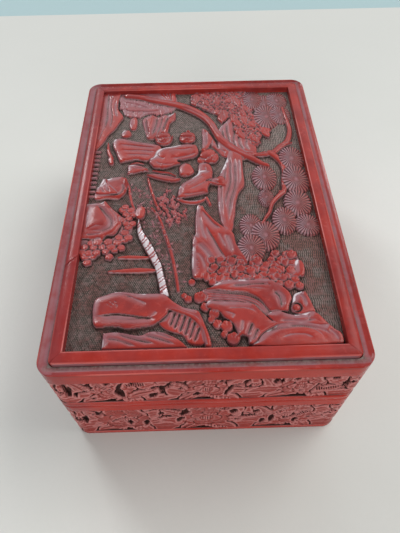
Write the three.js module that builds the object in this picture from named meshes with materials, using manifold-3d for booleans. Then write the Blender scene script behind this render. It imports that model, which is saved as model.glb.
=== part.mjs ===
// A lidded box of wooden boards under a thick coat of carved red lacquer.
// Millimetres, +Z up, origin at the centre of the underside. +X is right and +Y is the far side.
import * as THREE from 'three';
import { mergeVertices } from 'three/addons/utils/BufferGeometryUtils.js';
import Module from 'manifold-3d';

// Overall plan
const boxWidth = 104;
const boxLength = 152;
const cornerRadius = 5.5;
const leastRadius = 0.3;

// Bands of the side, from the table up
const footRimHeight = 2;
const baseBandHeight = 24;
const baseUpperRimHeight = 5.3;
const seamGap = 0.3;
const lidLowerRimHeight = 2.8;
const lidBandHeight = 16.9;
const shoulderHeight = 7;
const mouldingRise = 1.2;

// Boards, coat and linings
const coatThickness = 3;
const baseWallThickness = 4;
const floorBoardThickness = 4;
const topBoardThickness = 4;
const lipThickness = 1.8;
const lipClearance = 0.4;
const lipRise = 5;
const liningThickness = 0.5;
const undersideThickness = 0.8;
const footRimWidth = 6;

// Frame around the scene
const coveWidth = 3.3;
const coveDepth = 0.8;
const arrisWidth = 0.2;
const grooveWidth = 0.2;
const mouldingSlopeWidth = 1.8;
const mouldingSlopeHeight = 0.6;
const mouldingWidth = 4.2;
const mitreGap = 0.3;
const sceneGroundDepth = 3;
const scenePanelThickness = 2.5;

// Carving of the bands
const bandBacking = 1;
const bandSetback = 0.2;
const blossomPitch = 31;
const blossomShare = 0.42;
const blossomHeightLimit = 20;
const wreathReach = 0.55;
const wreathRise = 0.62;
const wreathDrop = 0.2;
const betweenShare = 0.62;
const leafWidthShare = 0.3;
const betweenRise = 0.33;
const betweenTurn = 0.2;
const leafDrop = 0.4;

// Carving of the scene
const lowRelief = 0.9;
const middleRelief = 1.5;
const leafRelief = 1.7;
const shoulderLoss = 0.15;
const reliefStep = 0.07;
const leafletLength = 4.2;
const leafletWidth = 3;
const scaleTurn = 1.1;
const hangingTurn = 1.45;
const combCount = 11;
const combStart = 0.495;
const combPitch = 0.0195;
const combReach = 0.025;
const combShare = 0.48;

// One overrun for every cut, and the distance within which corners of a mesh are one
const overrun = 1;
const weldDistance = 1e-4;

// Steps of round stretches, and how deep their notches go
const cornerSteps = 5;
const slopeSteps = 3;
const fanTeeth = 8;
const blossomPetals = 8;
const wreathTips = 8;
const rosettePetals = 4;
const trunkSteps = 8;
const reliefLayers = 4;
const notchShare = 0.82;
const wreathNotch = 0.72;

// Levels above the table
const bandBottom = footRimHeight;
const bandTop = bandBottom + baseBandHeight;
const baseTop = bandTop + baseUpperRimHeight;
const lidBottom = baseTop + seamGap;
const lidBandBottom = lidBottom + lidLowerRimHeight;
const lidBandTop = lidBandBottom + lidBandHeight;
const arrisLevel = lidBandTop + shoulderHeight;
const mouldingTop = arrisLevel + mouldingRise;
const groundLevel = mouldingTop - sceneGroundDepth;
const boardTop = groundLevel - scenePanelThickness;
const boardBottom = boardTop - topBoardThickness;
const floorTop = bandBottom + floorBoardThickness;
const lipTop = baseTop + lipRise;

// Distances in from the outer faces
const wallInset = coatThickness;
const lipInset = wallInset + baseWallThickness;
const cavityInset = lipInset + lipThickness;
const lidWallThickness = baseWallThickness - lipClearance;
const lidCavityInset = wallInset + lidWallThickness;
const mouldingInset = coveWidth + grooveWidth;
const sceneInset = mouldingInset + mouldingWidth;
const sceneWidth = boxWidth - 2 * sceneInset;
const sceneLength = boxLength - 2 * sceneInset;

// Finishes
const finish = {
  redLacquer: { color: 0xa62f28, roughness: 0.32, metalness: 0 },
  carvedLacquer: { color: 0x96302a, roughness: 0.4, metalness: 0 },
  blackLacquer: { color: 0x15110f, roughness: 0.3, metalness: 0 },
  wood: { color: 0x8a6a48, roughness: 0.8, metalness: 0 },
};

const kernel = await Module();
kernel.setup();

// Turns a closed three.js geometry into a solid that can be joined and cut
function solidOf(geometry) {
  const bare = geometry.clone();
  bare.deleteAttribute('normal');
  bare.deleteAttribute('uv');
  const welded = mergeVertices(bare, weldDistance);
  return new kernel.Manifold(new kernel.Mesh({
    numProp: 3,
    vertProperties: Float32Array.from(welded.attributes.position.array),
    triVerts: Uint32Array.from(welded.index.array),
  }));
}

// Turns a solid back into a three.js geometry
function geometryOf(solid) {
  const mesh = solid.getMesh();
  const geometry = new THREE.BufferGeometry();
  geometry.setAttribute('position', new THREE.BufferAttribute(mesh.vertProperties, mesh.numProp));
  geometry.setIndex(new THREE.BufferAttribute(mesh.triVerts, 1));
  geometry.computeVertexNormals();
  return geometry;
}

function joined(solids) {
  return solids.reduce((sum, solid) => sum.add(solid));
}

// A named mesh with a material of its own
function piece(name, geometry, finishName) {
  const mesh = new THREE.Mesh(geometry, new THREE.MeshStandardMaterial(finish[finishName]));
  mesh.name = name;
  return mesh;
}

// A block between two corners
function block(low, high) {
  const size = high.map((value, axis) => value - low[axis]);
  const geometry = new THREE.BoxGeometry(...size);
  return geometry.translate(...low.map((value, axis) => value + size[axis] / 2));
}

// A block centred on the box's axis, as wide and long as the box less an inset on every side
function slab(inset, bottom, top) {
  const halfWidth = boxWidth / 2 - inset;
  const halfLength = boxLength / 2 - inset;
  return block([-halfWidth, -halfLength, bottom], [halfWidth, halfLength, top]);
}

// The plan of the box with round corners, drawn in by an inset
function planShape(inset) {
  const halfWidth = boxWidth / 2 - inset;
  const halfLength = boxLength / 2 - inset;
  const radius = Math.max(cornerRadius - inset, leastRadius);
  const shape = new THREE.Shape();
  shape.absarc(halfWidth - radius, halfLength - radius, radius, 0, Math.PI / 2);
  shape.absarc(radius - halfWidth, halfLength - radius, radius, Math.PI / 2, Math.PI);
  shape.absarc(radius - halfWidth, radius - halfLength, radius, Math.PI, 1.5 * Math.PI);
  shape.absarc(halfWidth - radius, radius - halfLength, radius, 1.5 * Math.PI, 2 * Math.PI);
  return shape;
}

function prism(shape, bottom, top) {
  const options = { depth: top - bottom, bevelEnabled: false, curveSegments: cornerSteps };
  return new THREE.ExtrudeGeometry(shape, options).translate(0, 0, bottom);
}

// A plain ring of lacquer around the boards
function rimSolid(bottom, top, innerInset) {
  const outside = solidOf(prism(planShape(0), bottom, top));
  return outside.subtract(solidOf(slab(innerInset, bottom - overrun, top + overrun)));
}

// Four boards around a hollow: the front and back run through, the sides stand between them
function wallBoards(prefix, outerInset, innerInset, bottom, top, finishName) {
  const outerX = boxWidth / 2 - outerInset;
  const outerY = boxLength / 2 - outerInset;
  const innerX = boxWidth / 2 - innerInset;
  const innerY = boxLength / 2 - innerInset;
  const corners = {
    front: [[-outerX, -outerY, bottom], [outerX, -innerY, top]],
    back: [[-outerX, innerY, bottom], [outerX, outerY, top]],
    left: [[-outerX, -innerY, bottom], [-innerX, innerY, top]],
    right: [[innerX, -innerY, bottom], [outerX, innerY, top]],
  };
  return Object.entries(corners).map(([side, [low, high]]) => (
    piece(`${prefix}_${side}`, block(low, high), finishName)));
}

// A rounded corner post: an L of lacquer whose outer corner is a quarter round
function cornerPostShape() {
  const shape = new THREE.Shape();
  shape.moveTo(-cornerRadius, 0);
  shape.absarc(-cornerRadius, -cornerRadius, cornerRadius, Math.PI / 2, 0, true);
  shape.lineTo(-coatThickness, -cornerRadius);
  shape.lineTo(-coatThickness, -coatThickness);
  shape.lineTo(-cornerRadius, -coatThickness);
  shape.closePath();
  return shape;
}

function cornerPosts(prefix, bottom, top) {
  const places = {
    back_right: [1, 1, 0],
    back_left: [-1, 1, Math.PI / 2],
    front_left: [-1, -1, Math.PI],
    front_right: [1, -1, -Math.PI / 2],
  };
  return Object.entries(places).map(([corner, [sideX, sideY, turn]]) => {
    const post = piece(`${prefix}_${corner}`, prism(cornerPostShape(), 0, top - bottom), 'redLacquer');
    post.position.set(sideX * boxWidth / 2, sideY * boxLength / 2, bottom);
    post.rotation.z = turn;
    return post;
  });
}

// Half of a leaf about its middle, as shares of its length and of its half width
const leafShares = [[-0.5, 0.3], [-0.2, 1], [0.2, 0.9], [0.5, 0]];

function leafShape(length, width) {
  const half = leafShares.map(([along, across]) => new THREE.Vector2(along * length, across * width / 2));
  const mirrored = half.slice(0, -1).reverse().map((point) => new THREE.Vector2(point.x, -point.y));
  return new THREE.Shape([...half, ...mirrored]);
}

// A round motif with a toothed edge, whose notches reach a share of its radius
function scallopedShape(radiusX, radiusY, teeth, notch) {
  const points = [];
  for (let step = 0; step < 2 * teeth; step += 1) {
    const reach = step % 2 ? 1 : notch;
    const angle = step * Math.PI / teeth;
    points.push(new THREE.Vector2(reach * radiusX * Math.cos(angle), reach * radiusY * Math.sin(angle)));
  }
  return new THREE.Shape(points);
}

// A stroke along a smooth curve through the given points, whose width follows the given widths
function strokeShape(points, widths, steps) {
  const curve = new THREE.SplineCurve(points.map(([x, y]) => new THREE.Vector2(x, y)));
  const edges = [[], []];
  for (let step = 0; step <= steps; step += 1) {
    const share = step / steps;
    const centre = curve.getPoint(share);
    const along = curve.getTangent(share);
    const place = share * (widths.length - 1);
    const below = Math.min(Math.floor(place), widths.length - 2);
    const reach = THREE.MathUtils.lerp(widths[below], widths[below + 1], place - below) / 2;
    edges[0].push(new THREE.Vector2(centre.x - along.y * reach, centre.y + along.x * reach));
    edges[1].push(new THREE.Vector2(centre.x + along.y * reach, centre.y - along.x * reach));
  }
  return new THREE.Shape([...edges[1], ...edges[0].reverse()]);
}

// A motif raised from a ground, turned and moved to its place
function raised(shape, ground, height, x = 0, y = 0, turn = 0) {
  const geometry = prism(shape, ground - bandBacking / 2, ground + height);
  return solidOf(geometry.rotateZ(turn).translate(x, y, 0));
}

// A carved band: a row of full blossoms, each in a wreath of leaf tips, with leaves between the wreaths.
// It is drawn flat, with its length on X, its height on Y and its depth on Z, from its lower middle.
function bandSolid(length, height) {
  const relief = coatThickness - bandSetback - bandBacking;
  const middle = height / 2;
  const blossoms = Math.round(length / blossomPitch);
  const pitch = length / blossoms;
  const radius = blossomShare * Math.min(height, blossomHeightLimit);
  const blossom = scallopedShape(radius, radius, blossomPetals, notchShare);
  const wreath = scallopedShape(wreathReach * pitch, wreathRise * height, wreathTips, wreathNotch);
  const leaf = leafShape(betweenShare * pitch, leafWidthShare * height);
  const motifs = [];
  for (let index = 0; index < blossoms; index += 1) {
    const x = (index + 0.5) * pitch - length / 2;
    motifs.push(raised(wreath, bandBacking, relief - wreathDrop, x, middle));
    motifs.push(raised(blossom, bandBacking, relief, x, middle));
  }
  for (let index = 0; index <= blossoms; index += 1) {
    const x = index * pitch - length / 2;
    const rise = betweenRise * height;
    motifs.push(raised(leaf, bandBacking, relief - leafDrop, x, middle + rise, Math.PI + betweenTurn));
    motifs.push(raised(leaf, bandBacking, relief - leafDrop, x, middle - rise, betweenTurn));
  }
  const field = solidOf(block([-length / 2, 0, 0], [length / 2, height, coatThickness]));
  const ground = solidOf(block([-length / 2, 0, 0], [length / 2, height, bandBacking]));
  return ground.add(joined(motifs).intersect(field));
}

// The four carved bands of one half of the box
function carvedBands(prefix, bottom, height) {
  const places = {
    front: [boxWidth, 0, -(boxLength / 2 - wallInset), 0],
    back: [boxWidth, 0, boxLength / 2 - wallInset, Math.PI],
    left: [boxLength, -(boxWidth / 2 - wallInset), 0, -Math.PI / 2],
    right: [boxLength, boxWidth / 2 - wallInset, 0, Math.PI / 2],
  };
  return Object.entries(places).map(([side, [run, x, y, turn]]) => {
    const geometry = geometryOf(bandSolid(run - 2 * cornerRadius, height));
    geometry.rotateX(Math.PI / 2).rotateZ(turn);
    const band = piece(`${prefix}_${side}`, geometry, 'carvedLacquer');
    band.position.set(x, y, bottom);
    return band;
  });
}

// The shoulder of the lid: a ring with a sharp outer edge and a cove that falls in to the groove
function shoulderSolid() {
  const ring = rimSolid(lidBandTop, arrisLevel, wallInset);
  const shelf = solidOf(prism(planShape(coveWidth), boardTop, arrisLevel + overrun));
  const cove = new THREE.ExtrudeGeometry(planShape(coveWidth), {
    depth: coveDepth,
    bevelEnabled: true,
    bevelThickness: coveDepth,
    bevelSize: coveWidth - arrisWidth,
    bevelSegments: 1,
    curveSegments: cornerSteps,
  }).translate(0, 0, arrisLevel);
  const sides = solidOf(prism(planShape(0), lidBandTop, arrisLevel));
  const lower = ring.intersect(solidOf(slab(-overrun, lidBandTop - overrun, boardTop)));
  const upper = sides.intersect(solidOf(slab(-overrun, boardTop, arrisLevel + overrun)));
  return lower.add(upper.subtract(shelf).subtract(solidOf(cove)));
}

// The moulding around the scene, before it is mitred
function mouldingSolid() {
  const slopeBottom = mouldingTop - mouldingSlopeHeight;
  const crown = new THREE.ExtrudeGeometry(planShape(mouldingInset + mouldingSlopeWidth), {
    depth: slopeBottom - boardTop + overrun,
    bevelEnabled: true,
    bevelThickness: mouldingSlopeHeight,
    bevelSize: mouldingSlopeWidth,
    bevelSegments: slopeSteps,
    curveSegments: cornerSteps,
  }).translate(0, 0, boardTop - overrun);
  const above = solidOf(slab(0, boardTop, mouldingTop + overrun));
  const scene = solidOf(slab(sceneInset, boardTop - overrun, mouldingTop + overrun));
  return solidOf(crown).intersect(above).subtract(scene);
}

// The part of the frame that one mitred moulding takes: a trapezium with 45 degree ends
function mitreShape(run) {
  const reach = sceneInset + overrun;
  const half = run / 2 - mitreGap / Math.SQRT2;
  const shape = new THREE.Shape();
  shape.moveTo(-half, 0);
  shape.lineTo(half, 0);
  shape.lineTo(half - reach, reach);
  shape.lineTo(reach - half, reach);
  shape.closePath();
  return shape;
}

function mouldings() {
  const ring = mouldingSolid();
  const places = {
    front: [boxWidth, 0, -boxLength / 2, 0],
    back: [boxWidth, 0, boxLength / 2, Math.PI],
    left: [boxLength, -boxWidth / 2, 0, -Math.PI / 2],
    right: [boxLength, boxWidth / 2, 0, Math.PI / 2],
  };
  return Object.entries(places).map(([side, [run, x, y, turn]]) => {
    const wedge = prism(mitreShape(run), boardTop - overrun, mouldingTop + overrun);
    wedge.rotateZ(turn).translate(x, y, 0);
    return piece(`lid_moulding_${side}`, geometryOf(ring.intersect(solidOf(wedge))), 'redLacquer');
  });
}

// The scene. Places are shares of the recess: across from the left, and away from the front.

// Foliage and rocks at the back, each with the relief that it stands at and its outline
const farMasses = {
  haze: { top: 1.15, outline: [[0.1, 1.01], [0.1, 0.93], [0.11, 0.9], [0.125, 0.88], [0.16, 0.872],
    [0.2, 0.868], [0.24, 0.885], [0.33, 0.885], [0.37, 0.9], [0.4, 0.93], [0.36, 1.01]] },
  foliage: { top: 1.15, outline: [[0.52, 1.01], [0.47, 0.98], [0.475, 0.94], [0.53, 0.91], [0.58, 0.88],
    [0.63, 0.87], [0.68, 0.86], [0.7, 0.82], [0.7, 0.78], [0.74, 0.74], [0.8, 0.72], [0.83, 0.77],
    [0.78, 0.82], [0.79, 0.87], [0.78, 0.93], [0.8, 1.01]] },
  cliff: { top: 1.9, outline: [[-0.02, 1.02], [0.082, 1.02], [0.08, 0.95], [0.085, 0.91], [0.115, 0.868],
    [0.1, 0.84], [0.08, 0.805], [0.05, 0.775], [0.035, 0.745], [0.02, 0.725], [-0.02, 0.69]] },
  upperRock: { top: 1.3, outline: [[0.6, 0.69], [0.6, 0.78], [0.62, 0.81], [0.645, 0.83], [0.67, 0.852],
    [0.69, 0.84], [0.7, 0.8], [0.71, 0.765], [0.735, 0.745], [0.76, 0.74], [0.785, 0.7], [0.77, 0.66],
    [0.7, 0.64], [0.62, 0.66]] },
  farRock: { top: 1.2, outline: [[0.52, 0.7], [0.522, 0.74], [0.524, 0.8], [0.545, 0.79], [0.56, 0.77],
    [0.572, 0.752], [0.578, 0.735], [0.56, 0.72], [0.545, 0.7], [0.53, 0.69]] },
  lowRock: { top: 0.9, outline: [[0.575, 0.745], [0.585, 0.73], [0.6, 0.7], [0.63, 0.68], [0.62, 0.66],
    [0.59, 0.69], [0.565, 0.715]] },
  tallRock: { top: 1.75, outline: [[0.66, 0.69], [0.705, 0.655], [0.705, 0.6], [0.706, 0.56],
    [0.705, 0.535], [0.7, 0.522], [0.685, 0.508], [0.675, 0.498], [0.66, 0.465], [0.653, 0.44],
    [0.65, 0.42], [0.64, 0.39], [0.636, 0.37], [0.625, 0.35], [0.612, 0.352], [0.6, 0.362], [0.588, 0.38],
    [0.584, 0.4], [0.578, 0.44], [0.58, 0.5], [0.585, 0.55], [0.595, 0.58], [0.61, 0.605], [0.63, 0.64]] },
};

// Robes, vessels and rocks of the middle ground
const middleMasses = {
  hangingCloth: { top: 1.5, outline: [[0.216, 0.855], [0.235, 0.868], [0.262, 0.878], [0.285, 0.868],
    [0.3, 0.864], [0.325, 0.877], [0.35, 0.874], [0.385, 0.888], [0.388, 0.868], [0.385, 0.85],
    [0.36, 0.83], [0.352, 0.8], [0.345, 0.775], [0.32, 0.76], [0.29, 0.752], [0.255, 0.752],
    [0.243, 0.762], [0.232, 0.8], [0.22, 0.83]] },
  capsule: { top: 1.35, outline: [[0.152, 0.858], [0.17, 0.868], [0.188, 0.858], [0.19, 0.82],
    [0.184, 0.804], [0.168, 0.8], [0.153, 0.815]] },
  pebble: { top: 1.2, outline: [[0.115, 0.785], [0.125, 0.8], [0.148, 0.8], [0.163, 0.787],
    [0.162, 0.772], [0.14, 0.762], [0.12, 0.767]] },
  ribbonTip: { top: 2, outline: [[0.064, 0.664], [0.078, 0.667], [0.092, 0.648], [0.093, 0.638],
    [0.085, 0.632], [0.073, 0.637]] },
  stool: { top: 1.9, outline: [[0.163, 0.59], [0.163, 0.628],
    [0.2, 0.628], [0.24, 0.616], [0.262, 0.603], [0.22, 0.597], [0.19, 0.589]] },
  table: { top: 1.9, outline: [[0.253, 0.583], [0.28, 0.588], [0.31, 0.584], [0.35, 0.577], [0.39, 0.567],
    [0.413, 0.562], [0.4, 0.553], [0.37, 0.551], [0.33, 0.558], [0.29, 0.568], [0.262, 0.577]] },
  robeFar: { top: 2.15, outline: [[0.078, 0.738], [0.09, 0.753], [0.12, 0.754], [0.15, 0.747],
    [0.2, 0.736], [0.25, 0.728], [0.29, 0.721], [0.315, 0.71], [0.32, 0.69], [0.305, 0.67], [0.265, 0.65],
    [0.25, 0.645], [0.2, 0.651], [0.15, 0.645], [0.125, 0.643], [0.116, 0.655], [0.108, 0.67],
    [0.098, 0.69], [0.084, 0.712]] },
  robeNear: { top: 2.4, outline: [[0.283, 0.66], [0.3, 0.688], [0.33, 0.703], [0.37, 0.708],
    [0.42, 0.717], [0.46, 0.717], [0.487, 0.71], [0.498, 0.692], [0.5, 0.678], [0.49, 0.664],
    [0.475, 0.656], [0.45, 0.651], [0.42, 0.646], [0.4, 0.645], [0.4, 0.635], [0.412, 0.63], [0.38, 0.62],
    [0.35, 0.611], [0.33, 0.608], [0.31, 0.609], [0.288, 0.613], [0.272, 0.627], [0.262, 0.641],
    [0.268, 0.652]] },
  jar: { top: 2.3, outline: [[0.405, 0.598], [0.408, 0.618], [0.43, 0.63], [0.455, 0.623], [0.473, 0.602],
    [0.476, 0.59], [0.46, 0.578], [0.43, 0.573], [0.41, 0.579]] },
  torso: { top: 2.2, outline: [[0.497, 0.57], [0.495, 0.6], [0.5, 0.625], [0.52, 0.63], [0.545, 0.622],
    [0.56, 0.605], [0.562, 0.58], [0.55, 0.56], [0.52, 0.555]] },
  hemShadow: { top: 1.1, outline: [[0.398, 0.48], [0.415, 0.468], [0.445, 0.461], [0.475, 0.459],
    [0.505, 0.466], [0.527, 0.478], [0.528, 0.484], [0.5, 0.478], [0.47, 0.474], [0.43, 0.478],
    [0.405, 0.487]] },
  foot: { top: 1.5, outline: [[0.518, 0.487], [0.532, 0.486], [0.543, 0.468], [0.549, 0.454],
    [0.54, 0.45], [0.528, 0.468]] },
  robeFront: { top: 2.45, outline: [[0.4, 0.49], [0.402, 0.515], [0.413, 0.533], [0.43, 0.546],
    [0.455, 0.558], [0.485, 0.575], [0.5, 0.59], [0.53, 0.592], [0.556, 0.585], [0.56, 0.565],
    [0.553, 0.548], [0.545, 0.535], [0.537, 0.52], [0.535, 0.502], [0.515, 0.497], [0.48, 0.491],
    [0.45, 0.486], [0.42, 0.482], [0.405, 0.484]] },
  hands: { top: 2, outline: [[0.528, 0.548], [0.545, 0.556], [0.57, 0.563], [0.59, 0.567], [0.61, 0.56],
    [0.622, 0.545], [0.624, 0.532], [0.61, 0.527], [0.585, 0.53], [0.56, 0.536], [0.54, 0.54]] },
  stepRock: { top: 1.1, outline: [[0.028, 0.49], [0.026, 0.525], [0.04, 0.545], [0.055, 0.575],
    [0.07, 0.572], [0.1, 0.578], [0.135, 0.582], [0.16, 0.568], [0.17, 0.548], [0.17, 0.53],
    [0.165, 0.512], [0.15, 0.496], [0.13, 0.486], [0.08, 0.488]] },
  stepPeak: { top: 1.8, outline: [[0.03, 0.53], [0.042, 0.54], [0.06, 0.55], [0.07, 0.57], [0.08, 0.545],
    [0.1, 0.53], [0.125, 0.51], [0.1, 0.506], [0.05, 0.505], [0.03, 0.512]] },
  leftRock: { top: 2.1, outline: [[-0.02, 0.46], [0.03, 0.47], [0.06, 0.472], [0.075, 0.478],
    [0.1, 0.457], [0.125, 0.437], [0.15, 0.42], [0.172, 0.407], [0.165, 0.39], [0.15, 0.372],
    [0.14, 0.356], [0.13, 0.35], [0.1, 0.348], [0.088, 0.337], [0.077, 0.327], [0.05, 0.333],
    [0.02, 0.338], [-0.02, 0.34]] },
  leftFacet: { top: 2.4, outline: [[0.012, 0.456], [0.045, 0.458], [0.068, 0.434], [0.092, 0.402],
    [0.084, 0.384], [0.05, 0.384], [0.04, 0.38], [0.012, 0.374]] },
  redDisc: { top: 2.2, outline: [[0.214, 0.43], [0.22, 0.448], [0.237, 0.454], [0.254, 0.446],
    [0.259, 0.43], [0.252, 0.411], [0.238, 0.404], [0.221, 0.411]] },
};

// The peak, the shrub and the rocks at the front
const nearMasses = {
  peak: { top: 1.95, outline: [[0.5, 0.45], [0.488, 0.455], [0.48, 0.43], [0.475, 0.4], [0.474, 0.35],
    [0.468, 0.335], [0.463, 0.3], [0.46, 0.24], [0.47, 0.2], [0.53, 0.225], [0.6, 0.243], [0.65, 0.235],
    [0.68, 0.24], [0.675, 0.256], [0.652, 0.29], [0.641, 0.31], [0.636, 0.34], [0.62, 0.357],
    [0.6, 0.366], [0.58, 0.377], [0.56, 0.391], [0.54, 0.41], [0.52, 0.431], [0.51, 0.447]] },
  peakArch: { top: 2.2, outline: [[0.463, 0.336], [0.475, 0.335], [0.49, 0.328], [0.512, 0.312],
    [0.532, 0.293], [0.547, 0.272], [0.555, 0.25], [0.55, 0.235], [0.53, 0.225], [0.5, 0.215],
    [0.465, 0.28]] },
  peakLobe: { top: 2.35, outline: [[0.462, 0.3], [0.475, 0.303], [0.49, 0.292], [0.507, 0.276],
    [0.522, 0.258], [0.532, 0.238], [0.53, 0.225], [0.515, 0.205], [0.49, 0.197], [0.465, 0.2],
    [0.457, 0.22], [0.457, 0.27]] },
  shrub: { top: 1, outline: [[0.53, 0.2], [0.53, 0.245], [0.56, 0.262], [0.6, 0.255], [0.63, 0.27],
    [0.66, 0.25], [0.69, 0.235], [0.71, 0.262], [0.74, 0.25], [0.77, 0.24], [0.79, 0.28], [0.83, 0.268],
    [0.86, 0.29], [0.885, 0.268], [0.88, 0.21], [0.87, 0.17], [0.84, 0.165], [0.8, 0.18], [0.7, 0.19],
    [0.6, 0.185]] },
  flutes: { top: 1.35, outline: [[0.33, 0.078], [0.36, 0.1], [0.4, 0.11], [0.45, 0.1], [0.5, 0.06],
    [0.5, 0.02], [0.48, 0.014], [0.44, 0.02], [0.42, 0.04], [0.38, 0.05], [0.35, 0.06]] },
  frontLeftSlab: { top: 1.7, outline: [[0.13, 0.008], [0.13, 0.051], [0.16, 0.053], [0.19, 0.052],
    [0.23, 0.046], [0.265, 0.043], [0.3, 0.052], [0.34, 0.05], [0.37, 0.042], [0.4, 0.031], [0.42, 0.02],
    [0.435, 0.008]] },
  frontLeftRock: { top: 2.6, outline: [[0.084, 0.1], [0.082, 0.125], [0.09, 0.145], [0.12, 0.154],
    [0.155, 0.162], [0.19, 0.163], [0.25, 0.157], [0.33, 0.155], [0.36, 0.145], [0.385, 0.13],
    [0.42, 0.115], [0.475, 0.103], [0.49, 0.085], [0.503, 0.06], [0.515, 0.035], [0.52, 0.008],
    [0.5, 0.008], [0.493, 0.035], [0.485, 0.055], [0.467, 0.073], [0.44, 0.088], [0.4, 0.1],
    [0.368, 0.107], [0.362, 0.098], [0.345, 0.085], [0.31, 0.068], [0.26, 0.062], [0.215, 0.059],
    [0.19, 0.064], [0.15, 0.067], [0.105, 0.066], [0.09, 0.077]] },
  valley: { top: 1.2, outline: [[0.497, 0.166], [0.56, 0.168], [0.66, 0.158], [0.71, 0.142],
    [0.74, 0.115], [0.752, 0.095], [0.72, 0.083], [0.7, 0.1], [0.68, 0.118], [0.6, 0.122], [0.52, 0.127],
    [0.485, 0.138], [0.49, 0.155]] },
  frontRightBack: { top: 2.35, outline: [[0.508, 0.164], [0.53, 0.172], [0.56, 0.185], [0.6, 0.191],
    [0.68, 0.19], [0.75, 0.19], [0.785, 0.176], [0.81, 0.162], [0.828, 0.146], [0.832, 0.13],
    [0.82, 0.115], [0.81, 0.097], [0.775, 0.096], [0.748, 0.097], [0.735, 0.108], [0.72, 0.124],
    [0.7, 0.139], [0.66, 0.153], [0.6, 0.158], [0.55, 0.163]] },
  holedRock: { top: 2, outline: [[0.828, 0.097], [0.832, 0.125], [0.845, 0.145], [0.862, 0.15],
    [0.886, 0.151], [0.897, 0.135], [0.907, 0.11], [0.91, 0.09], [0.86, 0.084]] },
  ledge: { top: 2.15, outline: [[0.73, 0.088], [0.742, 0.094], [0.76, 0.098], [0.78, 0.097], [0.8, 0.091],
    [0.83, 0.086], [0.86, 0.087], [0.9, 0.093], [0.917, 0.088], [0.932, 0.076], [0.945, 0.063],
    [0.955, 0.054], [0.92, 0.054], [0.86, 0.06], [0.8, 0.06], [0.765, 0.058], [0.745, 0.072]] },
  frontLobe: { top: 2.55, outline: [[0.515, 0.13], [0.56, 0.128], [0.6, 0.127], [0.66, 0.122],
    [0.683, 0.118], [0.7, 0.105], [0.718, 0.09], [0.74, 0.073], [0.768, 0.061], [0.75, 0.053],
    [0.725, 0.045], [0.7, 0.033], [0.683, 0.018], [0.67, 0.01], [0.655, 0.012], [0.652, 0.03],
    [0.635, 0.035], [0.62, 0.032], [0.613, 0.05], [0.6, 0.068], [0.575, 0.082], [0.553, 0.1],
    [0.53, 0.105], [0.51, 0.115]] },
  hill: { top: 2.3, outline: [[0.665, 0.006], [0.685, 0.02], [0.7, 0.034], [0.72, 0.044], [0.745, 0.053],
    [0.768, 0.06], [0.8, 0.062], [0.86, 0.063], [0.92, 0.056], [0.95, 0.056], [0.967, 0.045],
    [0.985, 0.036], [0.993, 0.02], [0.985, 0.006]] },
};

// The leaning pine, its branches, the bare leaning trunk, the rails and the thin lines, thick end first
const strokes = [
  {
    relief: 2.4,
    widths: [3.8, 3.4, 3.4, 3.7, 4, 4.2, 3.9, 3.4, 3.3, 3.7, 4, 3.5, 2.8, 2],
    shares: [
      [0.13, 0.985], [0.2, 0.975], [0.28, 0.952], [0.35, 0.938], [0.42, 0.92], [0.48, 0.893],
      [0.53, 0.862], [0.57, 0.82], [0.59, 0.78], [0.615, 0.74], [0.66, 0.7], [0.71, 0.668], [0.76, 0.642],
      [0.8, 0.618], [0.823, 0.61],
    ],
  },
  {
    relief: 1.9,
    widths: [2.4, 2.6, 2.8, 2.2, 1.6, 1.2],
    shares: [
      [0.74, 0.668], [0.8, 0.663], [0.86, 0.672], [0.9, 0.698], [0.935, 0.72], [0.955, 0.75],
      [0.965, 0.79], [0.955, 0.86], [0.95, 0.9],
    ],
  },
  { relief: 1.9, widths: [1, 1.3, 0.5], shares: [[0.9, 0.7], [0.93, 0.708], [0.962, 0.716]] },
  {
    relief: 2.1,
    widths: [3, 2.6, 2.4, 2.2, 1.9, 1.6, 1.3, 0.9],
    shares: [
      [0.845, 0.67], [0.872, 0.65], [0.895, 0.62], [0.9, 0.585], [0.888, 0.545], [0.878, 0.5],
      [0.845, 0.478], [0.815, 0.45], [0.8, 0.42], [0.78, 0.4], [0.762, 0.378],
    ],
  },
  {
    relief: 2.2,
    widths: [0.9, 1.6, 2.4, 2.8, 2.9, 2.7, 2.4, 2.3, 2.5, 2.9],
    shares: [
      [0.232, 0.4], [0.236, 0.375], [0.245, 0.35], [0.265, 0.322], [0.285, 0.295], [0.305, 0.265],
      [0.322, 0.24], [0.332, 0.21], [0.342, 0.18], [0.35, 0.15],
    ],
  },
  {
    relief: 1,
    widths: [0.8, 1.1, 0.9],
    shares: [
      [0.155, 0.575], [0.175, 0.54], [0.185, 0.5], [0.2, 0.46], [0.215, 0.44],
    ],
  },
  {
    relief: 1.1,
    widths: [0.9, 1.1, 0.9],
    shares: [
      [0.262, 0.57], [0.275, 0.53], [0.29, 0.495], [0.306, 0.46], [0.318, 0.445],
    ],
  },
  {
    relief: 1.3,
    widths: [0.7, 1.2, 1.3, 1.2, 1.1],
    shares: [
      [0.283, 0.452], [0.305, 0.43], [0.325, 0.4], [0.342, 0.36], [0.36, 0.32], [0.375, 0.28],
      [0.388, 0.235], [0.398, 0.19], [0.402, 0.165],
    ],
  },
  {
    relief: 1.4,
    widths: [0.8, 1.7, 1.6, 0.8],
    shares: [
      [0.16, 0.273], [0.2, 0.274], [0.25, 0.272], [0.285, 0.271],
    ],
  },
  {
    relief: 1.5,
    widths: [0.7, 1.8, 2.2, 1.2],
    shares: [
      [0.125, 0.229], [0.17, 0.229], [0.25, 0.23], [0.315, 0.228],
    ],
  },
  {
    relief: 1.7,
    widths: [0.7, 1.2, 1.6, 1.7],
    shares: [
      [0.055, 0.735], [0.058, 0.71], [0.064, 0.69], [0.075, 0.672], [0.082, 0.66],
    ],
  },
];

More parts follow.
